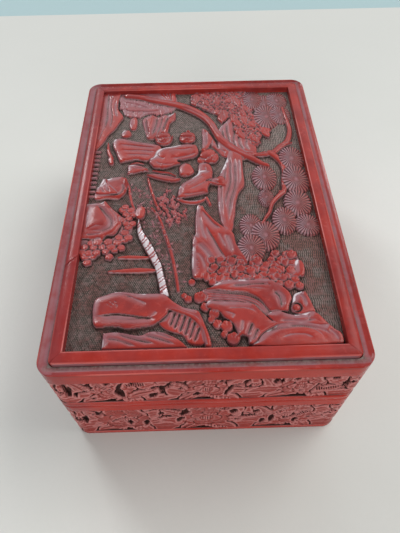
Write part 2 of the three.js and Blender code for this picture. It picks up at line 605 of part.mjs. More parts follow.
// Needle fans of the pine: place, half width, half length and relief, from the far ones to the near ones
const fans = [
  [0.86, 0.92, 5.4, 8.3, 1], [0.93, 0.945, 4.9, 6.8, 0.9], [0.8, 0.955, 4.4, 7.5, 0.95],
  [0.86, 0.855, 5.8, 8.7, 1.15], [0.935, 0.865, 4.9, 6.8, 1], [0.945, 0.645, 5.4, 7.5, 1.2],
  [0.945, 0.55, 5.7, 8.3, 1.35], [0.8, 0.562, 5.1, 7.5, 1.6], [0.795, 0.478, 3.1, 4.8, 1.5],
  [0.93, 0.452, 5.4, 7.4, 1.8], [0.955, 0.37, 5.1, 5.3, 1.5], [0.857, 0.388, 4.6, 6.9, 1.75],
  [0.712, 0.372, 4.3, 6, 1.4], [0.768, 0.335, 5.3, 7.2, 1.9], [0.702, 0.293, 5.1, 6.5, 1.65],
];

// Heads with their caps, and other round forms: place, half width, half length and relief
const roundForms = [
  [0.33, 0.755, 3.3, 4.2, 2.4], [0.447, 0.755, 3.5, 4.4, 2.4], [0.548, 0.665, 3.8, 4.4, 2.4],
  [0.598, 0.551, 1.7, 2.2, 2.2], [0.512, 0.645, 1.8, 2.2, 1.6],
];

// Blossoms of the shrub behind the front rocks: place, radius and relief
const rosettes = [
  [0.545, 0.232, 2.4, 1.5], [0.58, 0.222, 2.4, 1.5], [0.618, 0.25, 2.6, 1.6], [0.65, 0.225, 2.5, 1.6],
  [0.69, 0.218, 2.8, 1.6], [0.722, 0.247, 2.9, 1.8], [0.79, 0.257, 2.8, 1.8], [0.82, 0.24, 2.8, 1.7],
  [0.86, 0.265, 3, 1.9], [0.846, 0.216, 2.8, 1.8], [0.858, 0.2, 2.4, 1.6], [0.775, 0.215, 2.5, 1.5],
  [0.81, 0.195, 2.6, 1.5], [0.485, 0.143, 3.2, 1.6], [0.505, 0.115, 2.5, 1.5], [0.535, 0.095, 2.8, 1.7],
  [0.548, 0.067, 2.5, 1.3], [0.58, 0.06, 3, 1.7], [0.6, 0.027, 3.2, 1.7],
];

// Scale leaves under the rock at the left
const scaleShares = [
  [0.02, 0.285], [0.045, 0.262], [0.02, 0.31], [0.05, 0.3], [0.09, 0.3], [0.125, 0.285], [0.075, 0.318],
  [0.11, 0.31], [0.145, 0.315], [0.17, 0.335], [0.15, 0.345], [0.18, 0.36], [0.2, 0.36], [0.185, 0.385],
  [0.195, 0.405], [0.16, 0.452], [0.19, 0.457], [0.175, 0.435], [0.195, 0.43],
];

// Hanging leaves of the pine: place, length and width
const hangingLeaves = [
  [0.555, 0.975, 6.1, 3.1], [0.61, 0.945, 6.8, 3.1], [0.64, 0.865, 8.2, 4.1], [0.625, 0.85, 6.8, 3.6],
  [0.7, 0.95, 6.8, 3.3], [0.72, 0.935, 6.8, 3.1], [0.74, 0.865, 8.2, 3.3], [0.742, 0.835, 6.1, 3.1],
  [0.69, 0.845, 6.8, 3.3], [0.705, 0.825, 6.1, 3.1], [0.84, 0.775, 6.8, 4.1], [0.5, 0.96, 6.8, 3.6],
];

function inScene([across, away]) {
  return [(across - 0.5) * sceneWidth, (away - 0.5) * sceneLength];
}

// Neighbours stand a little higher or lower, as knife cuts leave them
function layered(relief, index) {
  return relief - shoulderLoss + reliefStep * (index % reliefLayers);
}

function outlinedMasses() {
  const masses = [farMasses, middleMasses, nearMasses].flatMap((table) => Object.values(table));
  return masses.map(({ top, outline }, index) => {
    const shape = new THREE.Shape(outline.map((share) => new THREE.Vector2(...inScene(share))));
    return raised(shape, groundLevel, layered(top, index));
  });
}

function trunksAndLines() {
  return strokes.map(({ shares, widths, relief }, index) => {
    const shape = strokeShape(shares.map(inScene), widths, trunkSteps);
    return raised(shape, groundLevel, layered(relief, index) + reliefStep / 2);
  });
}

function roundMotifs() {
  const ovals = (places, teeth) => places.map(([across, away, halfWidth, halfLength, relief], index) => {
    const shape = scallopedShape(halfWidth, halfLength, teeth, notchShare);
    return raised(shape, groundLevel, layered(relief, index) - reliefStep / 3, ...inScene([across, away]));
  });
  const blossoms = rosettes.map(([across, away, radius, relief]) => [across, away, radius, radius, relief]);
  return [...ovals(fans, fanTeeth), ...ovals(blossoms, rosettePetals), ...ovals(roundForms, fanTeeth)];
}

function leaflets() {
  const scale = leafShape(leafletLength, leafletWidth);
  const scales = scaleShares.map((share, index) => (
    raised(scale, groundLevel, layered(middleRelief, index), ...inScene(share), -scaleTurn)));
  const hanging = hangingLeaves.map(([across, away, length, width], index) => {
    const leaf = leafShape(length, width);
    return raised(leaf, groundLevel, layered(leafRelief, index), ...inScene([across, away]), -hangingTurn);
  });
  return [...scales, ...hanging];
}

// The row of slots at the left edge
function combTeeth() {
  return Array.from({ length: combCount }, (_, step) => {
    const [left, near] = inScene([0, combStart + step * combPitch]);
    const [right, far] = inScene([combReach, combStart + (step + combShare) * combPitch]);
    const low = [left, near, groundLevel - bandBacking / 2];
    return solidOf(block(low, [right, far, groundLevel + lowRelief]));
  });
}

function scenePanel() {
  const ground = solidOf(slab(sceneInset, boardTop, groundLevel));
  const motifs = joined([
    ...outlinedMasses(),
    ...trunksAndLines(),
    ...roundMotifs(),
    ...leaflets(),
    ...combTeeth(),
  ]);
  const field = solidOf(slab(sceneInset, boardTop, mouldingTop));
  const solid = ground.add(motifs.intersect(field));
  return piece('lid_scene_panel', geometryOf(solid), 'carvedLacquer');
}

function base() {
  const group = new THREE.Group();
  group.add(piece('base_floor_board', slab(wallInset, bandBottom, floorTop), 'wood'));
  group.add(...wallBoards('base_wall', wallInset, lipInset, floorTop, baseTop, 'wood'));
  group.add(...wallBoards('base_lip', lipInset, cavityInset, floorTop, lipTop, 'blackLacquer'));
  group.add(piece('base_foot_rim', geometryOf(rimSolid(0, footRimHeight, footRimWidth)), 'redLacquer'));
  group.add(piece('base_upper_rim', geometryOf(rimSolid(bandTop, baseTop, wallInset)), 'redLacquer'));
  group.add(...cornerPosts('base_corner_post', bandBottom, bandTop));
  group.add(...carvedBands('base_carved_panel', bandBottom, baseBandHeight));
  const lining = slab(cavityInset, floorTop, floorTop + liningThickness);
  group.add(piece('base_floor_lining', lining, 'blackLacquer'));
  const underside = slab(footRimWidth, footRimHeight - undersideThickness, footRimHeight);
  group.add(piece('base_underside', underside, 'blackLacquer'));
  return group;
}

function lid() {
  const group = new THREE.Group();
  group.add(piece('lid_top_board', slab(wallInset, boardBottom, boardTop), 'wood'));
  group.add(...wallBoards('lid_wall', wallInset, lidCavityInset, lidBottom, boardBottom, 'wood'));
  const lowerRim = rimSolid(lidBottom, lidBandBottom, wallInset);
  group.add(piece('lid_lower_rim', geometryOf(lowerRim), 'redLacquer'));
  group.add(piece('lid_shoulder_rim', geometryOf(shoulderSolid()), 'redLacquer'));
  group.add(...cornerPosts('lid_corner_post', lidBandBottom, lidBandTop));
  group.add(...carvedBands('lid_carved_panel', lidBandBottom, lidBandHeight));
  group.add(...mouldings());
  group.add(scenePanel());
  const ceiling = slab(lidCavityInset, boardBottom - liningThickness, boardBottom);
  group.add(piece('lid_ceiling_lining', ceiling, 'blackLacquer'));
  return group;
}

const lacquerBox = new THREE.Group();
lacquerBox.add(base(), lid());

export default lacquerBox;
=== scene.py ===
"""Carved cinnabar lacquer box: the detailed look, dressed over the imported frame.

All shapes are worked out in millimetres and stored in metres. +X is right and +Y is the far side.
"""
import math

import bmesh
import bpy
import numpy as np
from mathutils import Matrix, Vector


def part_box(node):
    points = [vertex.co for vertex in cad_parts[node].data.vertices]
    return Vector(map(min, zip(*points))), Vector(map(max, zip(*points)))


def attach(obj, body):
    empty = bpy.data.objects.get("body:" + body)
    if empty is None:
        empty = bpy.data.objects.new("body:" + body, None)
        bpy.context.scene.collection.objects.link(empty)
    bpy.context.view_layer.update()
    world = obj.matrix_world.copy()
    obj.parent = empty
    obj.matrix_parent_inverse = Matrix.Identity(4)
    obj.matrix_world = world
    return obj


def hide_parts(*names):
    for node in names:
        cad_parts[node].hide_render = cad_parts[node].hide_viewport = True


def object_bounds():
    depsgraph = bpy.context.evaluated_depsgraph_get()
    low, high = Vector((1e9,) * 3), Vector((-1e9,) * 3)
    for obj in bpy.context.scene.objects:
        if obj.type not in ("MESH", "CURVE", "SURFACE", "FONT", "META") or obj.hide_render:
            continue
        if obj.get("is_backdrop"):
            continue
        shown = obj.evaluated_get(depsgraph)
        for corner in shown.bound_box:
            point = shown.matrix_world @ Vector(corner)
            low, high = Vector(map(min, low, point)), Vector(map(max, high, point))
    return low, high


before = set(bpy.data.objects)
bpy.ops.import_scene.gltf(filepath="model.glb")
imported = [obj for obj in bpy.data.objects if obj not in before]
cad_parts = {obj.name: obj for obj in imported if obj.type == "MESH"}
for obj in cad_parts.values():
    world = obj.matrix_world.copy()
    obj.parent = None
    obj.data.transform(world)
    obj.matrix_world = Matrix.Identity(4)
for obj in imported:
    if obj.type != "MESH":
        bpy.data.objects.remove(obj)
cad_low, cad_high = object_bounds()

MM = .001
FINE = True


def levels(node):
    """The lowest and the highest level of a node of the frame."""
    return tuple(round(corner[2] / MM, 3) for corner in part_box(node))


# The plan of the box, its coat of lacquer, how deep that is carved, and how far in the lid's walls stand
HALF_WIDTH, HALF_LENGTH = (round(reach / MM, 3) for reach in cad_high[:2])
CORNER_RADIUS = 5.5
LEAST_RADIUS = .3
COAT = 3
CARVING_DEPTH = 2.0
LID_WALL_INSET = 6.55

# Levels above the table: the carved bands, the seam of the lid, and the ground of the scene
FOOT_TOP, BASE_BAND_TOP = levels("base_carved_panel_front")
BASE_TOP = levels("base_upper_rim")[1]
LID_BOTTOM, LID_BAND_BOTTOM = levels("lid_lower_rim")
LID_BAND_TOP = levels("lid_shoulder_rim")[0]
SEAT_LEVEL = (BASE_TOP + LID_BOTTOM) / 2
SCENE_LEVEL = 56.5

# The distance below which two points are one, the same for a squared distance, and one beyond all others
SAME_POINT = 1e-9
SAME_SQUARE = 1e-12
FAR_AWAY = 1e9


def smooth(share):
    """An even rise from 0 to 1."""
    share = np.clip(share, 0.0, 1.0)
    return share * share * (3.0 - 2.0 * share)


def curve(points, closed=False, per=6):
    """A smooth line through points, in per steps each. A point given twice running is a corner."""
    points = np.asarray(points, float)
    count = len(points)

    def at(index):
        return points[index % count] if closed else points[min(max(index, 0), count - 1)]

    def bend(index):
        back, ahead = at(index) - at(index - 1), at(index + 1) - at(index)
        reach_back, reach_ahead = math.hypot(*back), math.hypot(*ahead)
        if min(reach_back, reach_ahead) < SAME_POINT:
            return np.zeros(2)
        return (back + ahead) / (reach_back + reach_ahead)

    line = []
    for index in range(count if closed else count - 1):
        start, end = at(index), at(index + 1)
        run = math.hypot(*(end - start))
        if run < SAME_POINT:
            continue
        for step in range(per):
            t = step / per
            line.append((2 * t**3 - 3 * t**2 + 1) * start
                        + (t**3 - 2 * t**2 + t) * run * bend(index)
                        + (3 * t**2 - 2 * t**3) * end
                        + (t**3 - t**2) * run * bend(index + 1))
    if not closed:
        line.append(points[-1])
    return np.array(line)


def depth_inside(outline, x, y):
    """How far each place lies inside an outline; outside it counts below zero."""
    nearest = np.full(x.shape, FAR_AWAY)
    inside = np.zeros(x.shape, bool)
    for (ax, ay), (bx, by) in zip(outline, np.roll(outline, -1, axis=0)):
        ex, ey = bx - ax, by - ay
        square = ex * ex + ey * ey
        if square < SAME_SQUARE:
            continue
        wx, wy = x - ax, y - ay
        t = np.clip((wx * ex + wy * ey) / square, 0, 1)
        nearest = np.minimum(nearest, (wx - t * ex) ** 2 + (wy - t * ey) ** 2)
        if ay != by:
            inside ^= ((ay > y) != (by > y)) & (wx < ex * wy / ey)
    return np.where(inside, 1.0, -1.0) * np.sqrt(nearest)


def beside(line, x, y):
    """The nearest place on a line: its share of the length, its distance, and which side it is on."""
    steps = np.diff(line, axis=0)
    runs = np.hypot(steps[:, 0], steps[:, 1])
    starts = np.concatenate([[0.0], np.cumsum(runs)])
    nearest = np.full(x.shape, FAR_AWAY)
    share = np.zeros(x.shape)
    side = np.ones(x.shape)
    for (ax, ay), (ex, ey), run, start in zip(line, steps, runs, starts):
        wx, wy = x - ax, y - ay
        t = np.clip((wx * ex + wy * ey) / (run * run), 0, 1)
        far = (wx - t * ex) ** 2 + (wy - t * ey) ** 2
        closer = far < nearest
        nearest = np.where(closer, far, nearest)
        share = np.where(closer, (start + t * run) / starts[-1], share)
        side = np.where(closer, np.sign(ex * wy - ey * wx), side)
    return share, np.sqrt(nearest), side


def turned(x, y, centre, turn):
    """Distances from a centre along a direction, and to the left of it."""
    c, s = math.cos(turn), math.sin(turn)
    return (x - centre[0]) * c + (y - centre[1]) * s, (y - centre[1]) * c - (x - centre[0]) * s


# The knife. A cut fades in over its head and out over its tail; a fold steps down within a short distance.
CUT_HEAD, CUT_TAIL = .18, .3
FOLD_STEP = .3
CUT_ON_MASS = 1.3
# How much film a fold and a groove leave; a fold's film is partly painted sheen on the slope it steps down to
FOLD_FILM_AND_SHEEN, GROOVE_FILM = 1.3, 1.7

# Masses: how wide their rounded shoulder is, how far they fall away to the back and left, and the painted
# sheen there
SHOULDER_SHARE, SHOULDER_DROP = .45, .55
FALL_REACH, FALL_POWER = 3.2, 1.4
SHEEN_REACH, SHEEN_STRENGTH = 2.8, 1.6
FACING_X, FACING_Y = .75, .85
MARGIN = 1.2

# The narrow cut round each motif, how wide it is, and how deep it is round leaves
MOAT, MOAT_WIDTH, LEAF_MOAT = .04, .45, .15

# Scale leaves in rows, and the ribs of a wheel of needles
ROW_PITCH, LEAF_PITCH, SWAY = 1.35, 1.9, .22
NEEDLES = 25


def tapered(share):
    return smooth(share / CUT_HEAD) * smooth((1 - share) / CUT_TAIL)


def knife(cut, x, y):
    """What one cut does to the height, and the film left in it, which on a fold is partly painted sheen. A
    fold drops to the left of its line.
    """
    kind, depth, reach, points = cut
    share, away, side = beside(curve(points), x, y)
    fade = tapered(share)
    if kind == "fold":
        step = smooth(side * away / FOLD_STEP + .5)
        change = -depth * fade * step * (1 - np.clip(away / reach, 0, 1)) ** 1.6
        return change, min(1, FOLD_FILM_AND_SHEEN * depth) * fade * step * (1 - np.clip(away / (1.1 * reach), 0, 1))
    sign = 1 if kind == "ridge" else -1
    width = reach * (.35 + .65 * fade)
    change = sign * depth * fade * (1 - np.clip(away / width, 0, 1)) ** 1.3
    return change, min(1, GROOVE_FILM * depth) * fade * (sign < 0) * (1 - np.clip(away / (1.7 * width), 0, 1))


class Relief:
    """Heights in millimetres over a flat panel, carved motif by motif from the far ones to the near ones.

    Beside the heights it keeps maps for the materials: where there are motifs, film and painted sheen, and
    wheels of needles.
    """

    def __init__(self, width, length, grid, seed=1, wall=.42):
        self.x = np.linspace(-width / 2, width / 2, round(width / grid) + 1)
        self.y = np.linspace(-length / 2, length / 2, round(length / grid) + 1)
        self.height = np.zeros((len(self.y), len(self.x)))
        self.motif = np.zeros_like(self.height)
        self.film_and_sheen = np.zeros_like(self.height)
        self.wheel = np.zeros((2, *self.height.shape))
        self.random = np.random.default_rng(seed)
        self.wall = wall

    def window(self, low, high, margin=MARGIN):
        """The part of the maps between two corners and a margin round it, with its places."""
        columns = np.searchsorted(self.x, [low[0] - margin, high[0] + margin])
        rows = np.searchsorted(self.y, [low[1] - margin, high[1] + margin])
        area = (slice(*rows), slice(*columns))
        x, y = np.meshgrid(self.x[area[1]], self.y[area[0]])
        return area, x, y

    def around(self, centre, reach):
        return self.window(np.subtract(centre, reach), np.add(centre, reach))

    def along(self, line, margin=MARGIN):
        return self.window(line.min(axis=0), line.max(axis=0), margin)

    def lay(self, area, inside, surface, motif=1.0, moat=0.0, film_and_sheen=0.0):
        """Lays a surface over what is there, with a steep wall where it ends."""
        if not inside.size:
            return
        if moat:
            self.height[area] -= moat * np.exp(-((inside / MOAT_WIDTH) ** 2)) * (inside < .3)
        cover = smooth(inside / self.wall + .5)
        self.height[area] += (surface - self.height[area]) * cover
        self.motif[area] += (motif - self.motif[area]) * cover
        self.film_and_sheen[area] += (film_and_sheen - self.film_and_sheen[area]) * cover
        self.wheel[:, area[0], area[1]] *= cover < .5

    def mass(self, outline, top, drop=.45, reach=1.5, tilt=(0, 0), cuts=(), per=6, motif=1.0, moat=MOAT,
             fall=0):
        """An outlined form worked with cuts, which may fall away to its back and left, with painted sheen
        where it does.
        """
        line = curve(outline, closed=True, per=per)
        area, x, y = self.along(line)
        inside = depth_inside(line, x, y)
        middle = line.mean(axis=0)
        surface = top - SHOULDER_DROP * drop * (1 - np.clip(inside / (SHOULDER_SHARE * reach), 0, 1)) ** 2
        surface = surface + tilt[0] * (x - middle[0]) + tilt[1] * (y - middle[1])
        film_and_sheen = np.zeros(x.shape)
        if fall and min(x.shape) > 2:
            rise_y, rise_x = np.gradient(inside, self.y[1] - self.y[0], self.x[1] - self.x[0])
            facing = np.clip(FACING_X * rise_x - FACING_Y * rise_y, 0, 1)
            surface = surface - fall * facing * np.clip(1 - inside / FALL_REACH, 0, 1) ** FALL_POWER
            # Painted sheen and glint: film laid along edges facing the back left, where the window would
            # reflect
            film_and_sheen = SHEEN_STRENGTH * facing * np.clip(1 - inside / SHEEN_REACH, 0, 1)
        for cut in cuts:
            change, wash = knife(cut, x, y)
            surface = surface + CUT_ON_MASS * change
            film_and_sheen = np.maximum(film_and_sheen, wash)
        self.lay(area, inside, surface, motif, moat, film_and_sheen)

    def work(self, cuts):
        """Cuts made through whatever is there."""
        for cut in cuts:
            area, x, y = self.along(curve(cut[3]), margin=cut[2] + .5)
            change, wash = knife(cut, x, y)
            self.height[area] += change
            self.film_and_sheen[area] = np.maximum(self.film_and_sheen[area], wash)

    def stroke(self, points, widths, top, crown=.5, lean=0.0, nicks=0.0, pitch=2.0, motif=1.0, film_and_sheen=0.0):
        """A round-backed stem that follows the given widths, with nicks a pitch apart if it has any."""
        line = curve(points)
        area, x, y = self.along(line, margin=max(widths))
        share, away, side = beside(line, x, y)
        half = np.interp(share, np.linspace(0, 1, len(widths)), widths) / 2
        across = np.clip(away / half, 0, 1) * side
        surface = top - crown * across**2 + lean * across
        if nicks:
            run = np.hypot(*np.diff(line, axis=0).T).sum()
            wave = share * run / pitch + .3 * across + .25 * np.sin(share * run * 1.7)
            surface = surface + nicks * np.minimum(wave % 1, 6 * (1 - wave % 1))
            film_and_sheen = film_and_sheen * smooth((wave % 1 - .12) / .2)
        self.lay(area, half - away, surface, motif, MOAT, film_and_sheen)

    def disc(self, centre, radii, top, crown=.4, turn=0.0, moat=.1):
        """A round or oval boss."""
        area, x, y = self.around(centre, max(radii))
        along, aside = turned(x, y, centre, turn)
        far = np.hypot(along / radii[0], aside / radii[1])
        self.lay(area, (1 - far) * min(radii), top - crown * np.clip(far, 0, 1.2) ** 2, moat=moat)

    def fan(self, centre, radii, top, depth=.45, motif=.6):
        """A wheel of pine needles: fine radial ribs with a scalloped edge."""
        area, x, y = self.around(centre, max(radii))
        u, v = (x - centre[0]) / radii[0], (y - centre[1]) / radii[1]
        far = np.hypot(u, v)
        rib = np.abs(np.cos(np.arctan2(v, u) * NEEDLES / 2))
        edge = 1 - .05 * (1 - rib) ** 1.5
        surface = top - .35 * np.clip(far, 0, 1.1) ** 3 - .25 * np.exp(-((far / .16) ** 2))
        surface = surface - depth * (1 - rib) * smooth((far - .25) / .4)
        self.lay(area, (edge - far) * min(radii), surface, motif, .05)
        self.wheel[:, area[0], area[1]] += np.where(far < edge, [u, v], 0)

    def shingles(self, outline, radius, top, motif=1.0, hang=1):
        """Rows of three-lobed leaves that overlap like scales, ends to the front, or back if hang is -1."""
        line = curve(outline, closed=True)
        low, high = line.min(axis=0), line.max(axis=0)
        step = LEAF_PITCH * radius
        for row, y in enumerate(np.arange(low[1], high[1], ROW_PITCH * radius)[::hang]):
            for x in np.arange(low[0] + (row % 2) * step / 2, high[0], step):
                place = np.array([x, y]) + self.random.uniform(-SWAY, SWAY, 2) * 2 * radius
                if depth_inside(line, place[:1], place[1:])[0] > .2 * radius:
                    level = top + self.random.uniform(-.12, .12)
                    self.shingle(place, radius * self.random.uniform(.9, 1.2), level, motif, hang)

    def shingle(self, place, radius, top, motif=1.0, hang=1):
        """One of them: it rises to its lobed end and has two cuts there."""
        area, x, y = self.around(place, radius)
        along, aside = turned(x, y, place, self.random.uniform(-.5, .5))
        u, tip = along / radius, -hang * aside / radius
        away = np.hypot(u, tip * .95)
        lobes = 1 - .13 * np.abs(np.sin(2.7 * np.clip(np.arctan2(u, tip), -1.75, 1.75)))
        surface = top + .32 * tip - .15 * away**3
        for hand in (-1, 1):
            away_from_cut = np.abs(u - hand * (.12 + .42 * tip))
            surface = surface - .2 * np.clip(1 - away_from_cut / .16, 0, 1) * (tip > .1)
        self.lay(area, (lobes - away) * radius, surface, motif, .35, .5 * smooth(.1 - tip))

    def leaf(self, centre, length, width, turn, top, crown=.3, vein=.3, motif=1.0):
        """A pointed leaf with a cut midrib, its tip towards turn."""
        reach = length / 2
        area, x, y = self.around(centre, reach)
        along, aside = turned(x, y, centre, turn)
        u = along / reach
        half = width / 2 * np.clip(1 - u**2, 0, 1) ** .8 * (1 - .35 * u)
        surface = top - crown * (aside / np.maximum(half, .1)).clip(-1, 1) ** 2
        surface = surface - vein * np.clip(1 - np.abs(aside) / .22, 0, 1) * (np.abs(u) < .85)
        self.lay(area, half - np.abs(aside), surface, motif, LEAF_MOAT)

    def undulate(self, amount, size):
        """A slow unevenness, as a hand-held knife leaves it."""
        rows, columns = (max(4, round((line[-1] - line[0]) / size) + 3) for line in (self.y, self.x))
        coarse = self.random.uniform(-1, 1, (rows, columns))

        def stretch(values, count):
            place = np.linspace(.5, len(values) - 1.5, count)
            low = place.astype(int)
            t = smooth(place - low)[:, None]
            return values[low] * (1 - t) + values[low + 1] * t

        wave = stretch(stretch(coarse, len(self.y)).T, len(self.x)).T
        self.height += amount * wave * np.clip(self.motif, 0, 1)


def blurred(values, steps):
    """A box blur, done twice, with the edge values carried outwards."""
    for _ in range(2):
        for axis in (0, 1):
            padded = np.concatenate([np.repeat(np.take(values, [0], axis), steps + 1, axis), values,
                                     np.repeat(np.take(values, [-1], axis), steps, axis)], axis)
            total = np.cumsum(padded, axis)
            size = values.shape[axis]
            upper = np.take(total, range(2 * steps + 1, 2 * steps + 1 + size), axis)
            lower = np.take(total, range(size), axis)
            values = (upper - lower) / (2 * steps + 1)
    return values


# The scene. Places are shares of the recess, from its left and from its front; sizes are in millimetres.
SCENE_WIDTH, SCENE_LENGTH = 88.6, 136.6

# Masses, the far ones first: outline, top, drop of the shoulder, its reach, tilt, and cuts as kind, depth,
# reach and line
FAR_MASSES = {
    "cliff": ([(-.02, 1.02), (.082, 1.02), (.08, .95), (.085, .91), (.115, .868), (.1, .84), (.08, .805),
               (.05, .775), (.035, .745), (.02, .725), (-.02, .69)], 1.9, .5, 1.6, (.02, 0), [
        ("groove", .9, 1.3, [(.022, 1.01), (.025, .93), (.03, .86), (.02, .78)]),
        ("fold", .7, 2.2, [(.055, .8), (.06, .87), (.045, .93), (.05, 1.01)]),
        ("groove", .4, .7, [(.085, .86), (.07, .9), (.066, .97)]),
        ("fold", .4, 1.6, [(.005, .74), (.02, .8), (.012, .86)])]),
    "upper_rock": ([(.6, .69), (.6, .78), (.62, .81), (.645, .83), (.67, .852), (.69, .84), (.7, .8),
                    (.71, .765), (.735, .745), (.76, .74), (.785, .7), (.77, .66), (.7, .64), (.62, .66)],
                   1.3, .4, 1.2, (0, 0), [
        ("groove", .7, 1, [(.625, .8), (.63, .75), (.66, .69)]),
        ("groove", .8, 1.1, [(.65, .83), (.648, .77), (.67, .7)]),
        ("groove", .8, 1.2, [(.68, .84), (.685, .78), (.675, .73), (.7, .68)]),
        ("groove", .7, 1, [(.705, .77), (.705, .72), (.73, .68)]),
        ("groove", .6, 1, [(.745, .74), (.735, .71), (.755, .68)])]),
    "far_rock": ([(.52, .7), (.522, .74), (.524, .8), (.545, .79), (.56, .77), (.572, .752), (.578, .735),
                  (.56, .72), (.545, .7), (.53, .69)], 1.2, .3, 1.2, (0, 0), [
        ("groove", .5, .8, [(.54, .79), (.54, .74), (.535, .7)])]),
    "low_rock": ([(.575, .745), (.585, .73), (.6, .7), (.63, .68), (.62, .66), (.59, .69), (.565, .715)],
                 .9, .3, 1, (0, 0), [
        ("groove", .4, .7, [(.58, .73), (.6, .69)])]),
    "tall_rock": ([(.66, .69), (.705, .655), (.705, .6), (.706, .56), (.705, .535), (.7, .522), (.685, .508),
                   (.675, .498), (.66, .465), (.653, .44), (.65, .42), (.64, .39), (.636, .37), (.625, .35),
                   (.612, .352), (.6, .362), (.588, .38), (.584, .4), (.578, .44), (.58, .5), (.585, .55),
                   (.595, .58), (.61, .605), (.63, .64)], 1.75, .45, 1.6, (.05, 0), [
        ("groove", .85, 1.3, [(.675, .66), (.668, .6), (.66, .53), (.635, .47), (.62, .4), (.61, .36)]),
        ("groove", .8, 1.1, [(.648, .66), (.645, .6), (.64, .54), (.615, .48), (.605, .42)]),
        ("groove", .6, .9, [(.625, .62), (.615, .57), (.607, .53)]),
        ("groove", .45, .8, [(.69, .65), (.688, .6), (.683, .55), (.668, .51)]),
        ("groove", .55, .9, [(.6, .57), (.595, .52), (.592, .46), (.598, .4)]),
        ("fold", .35, 1.6, [(.637, .37), (.645, .41), (.655, .46)])]),
}

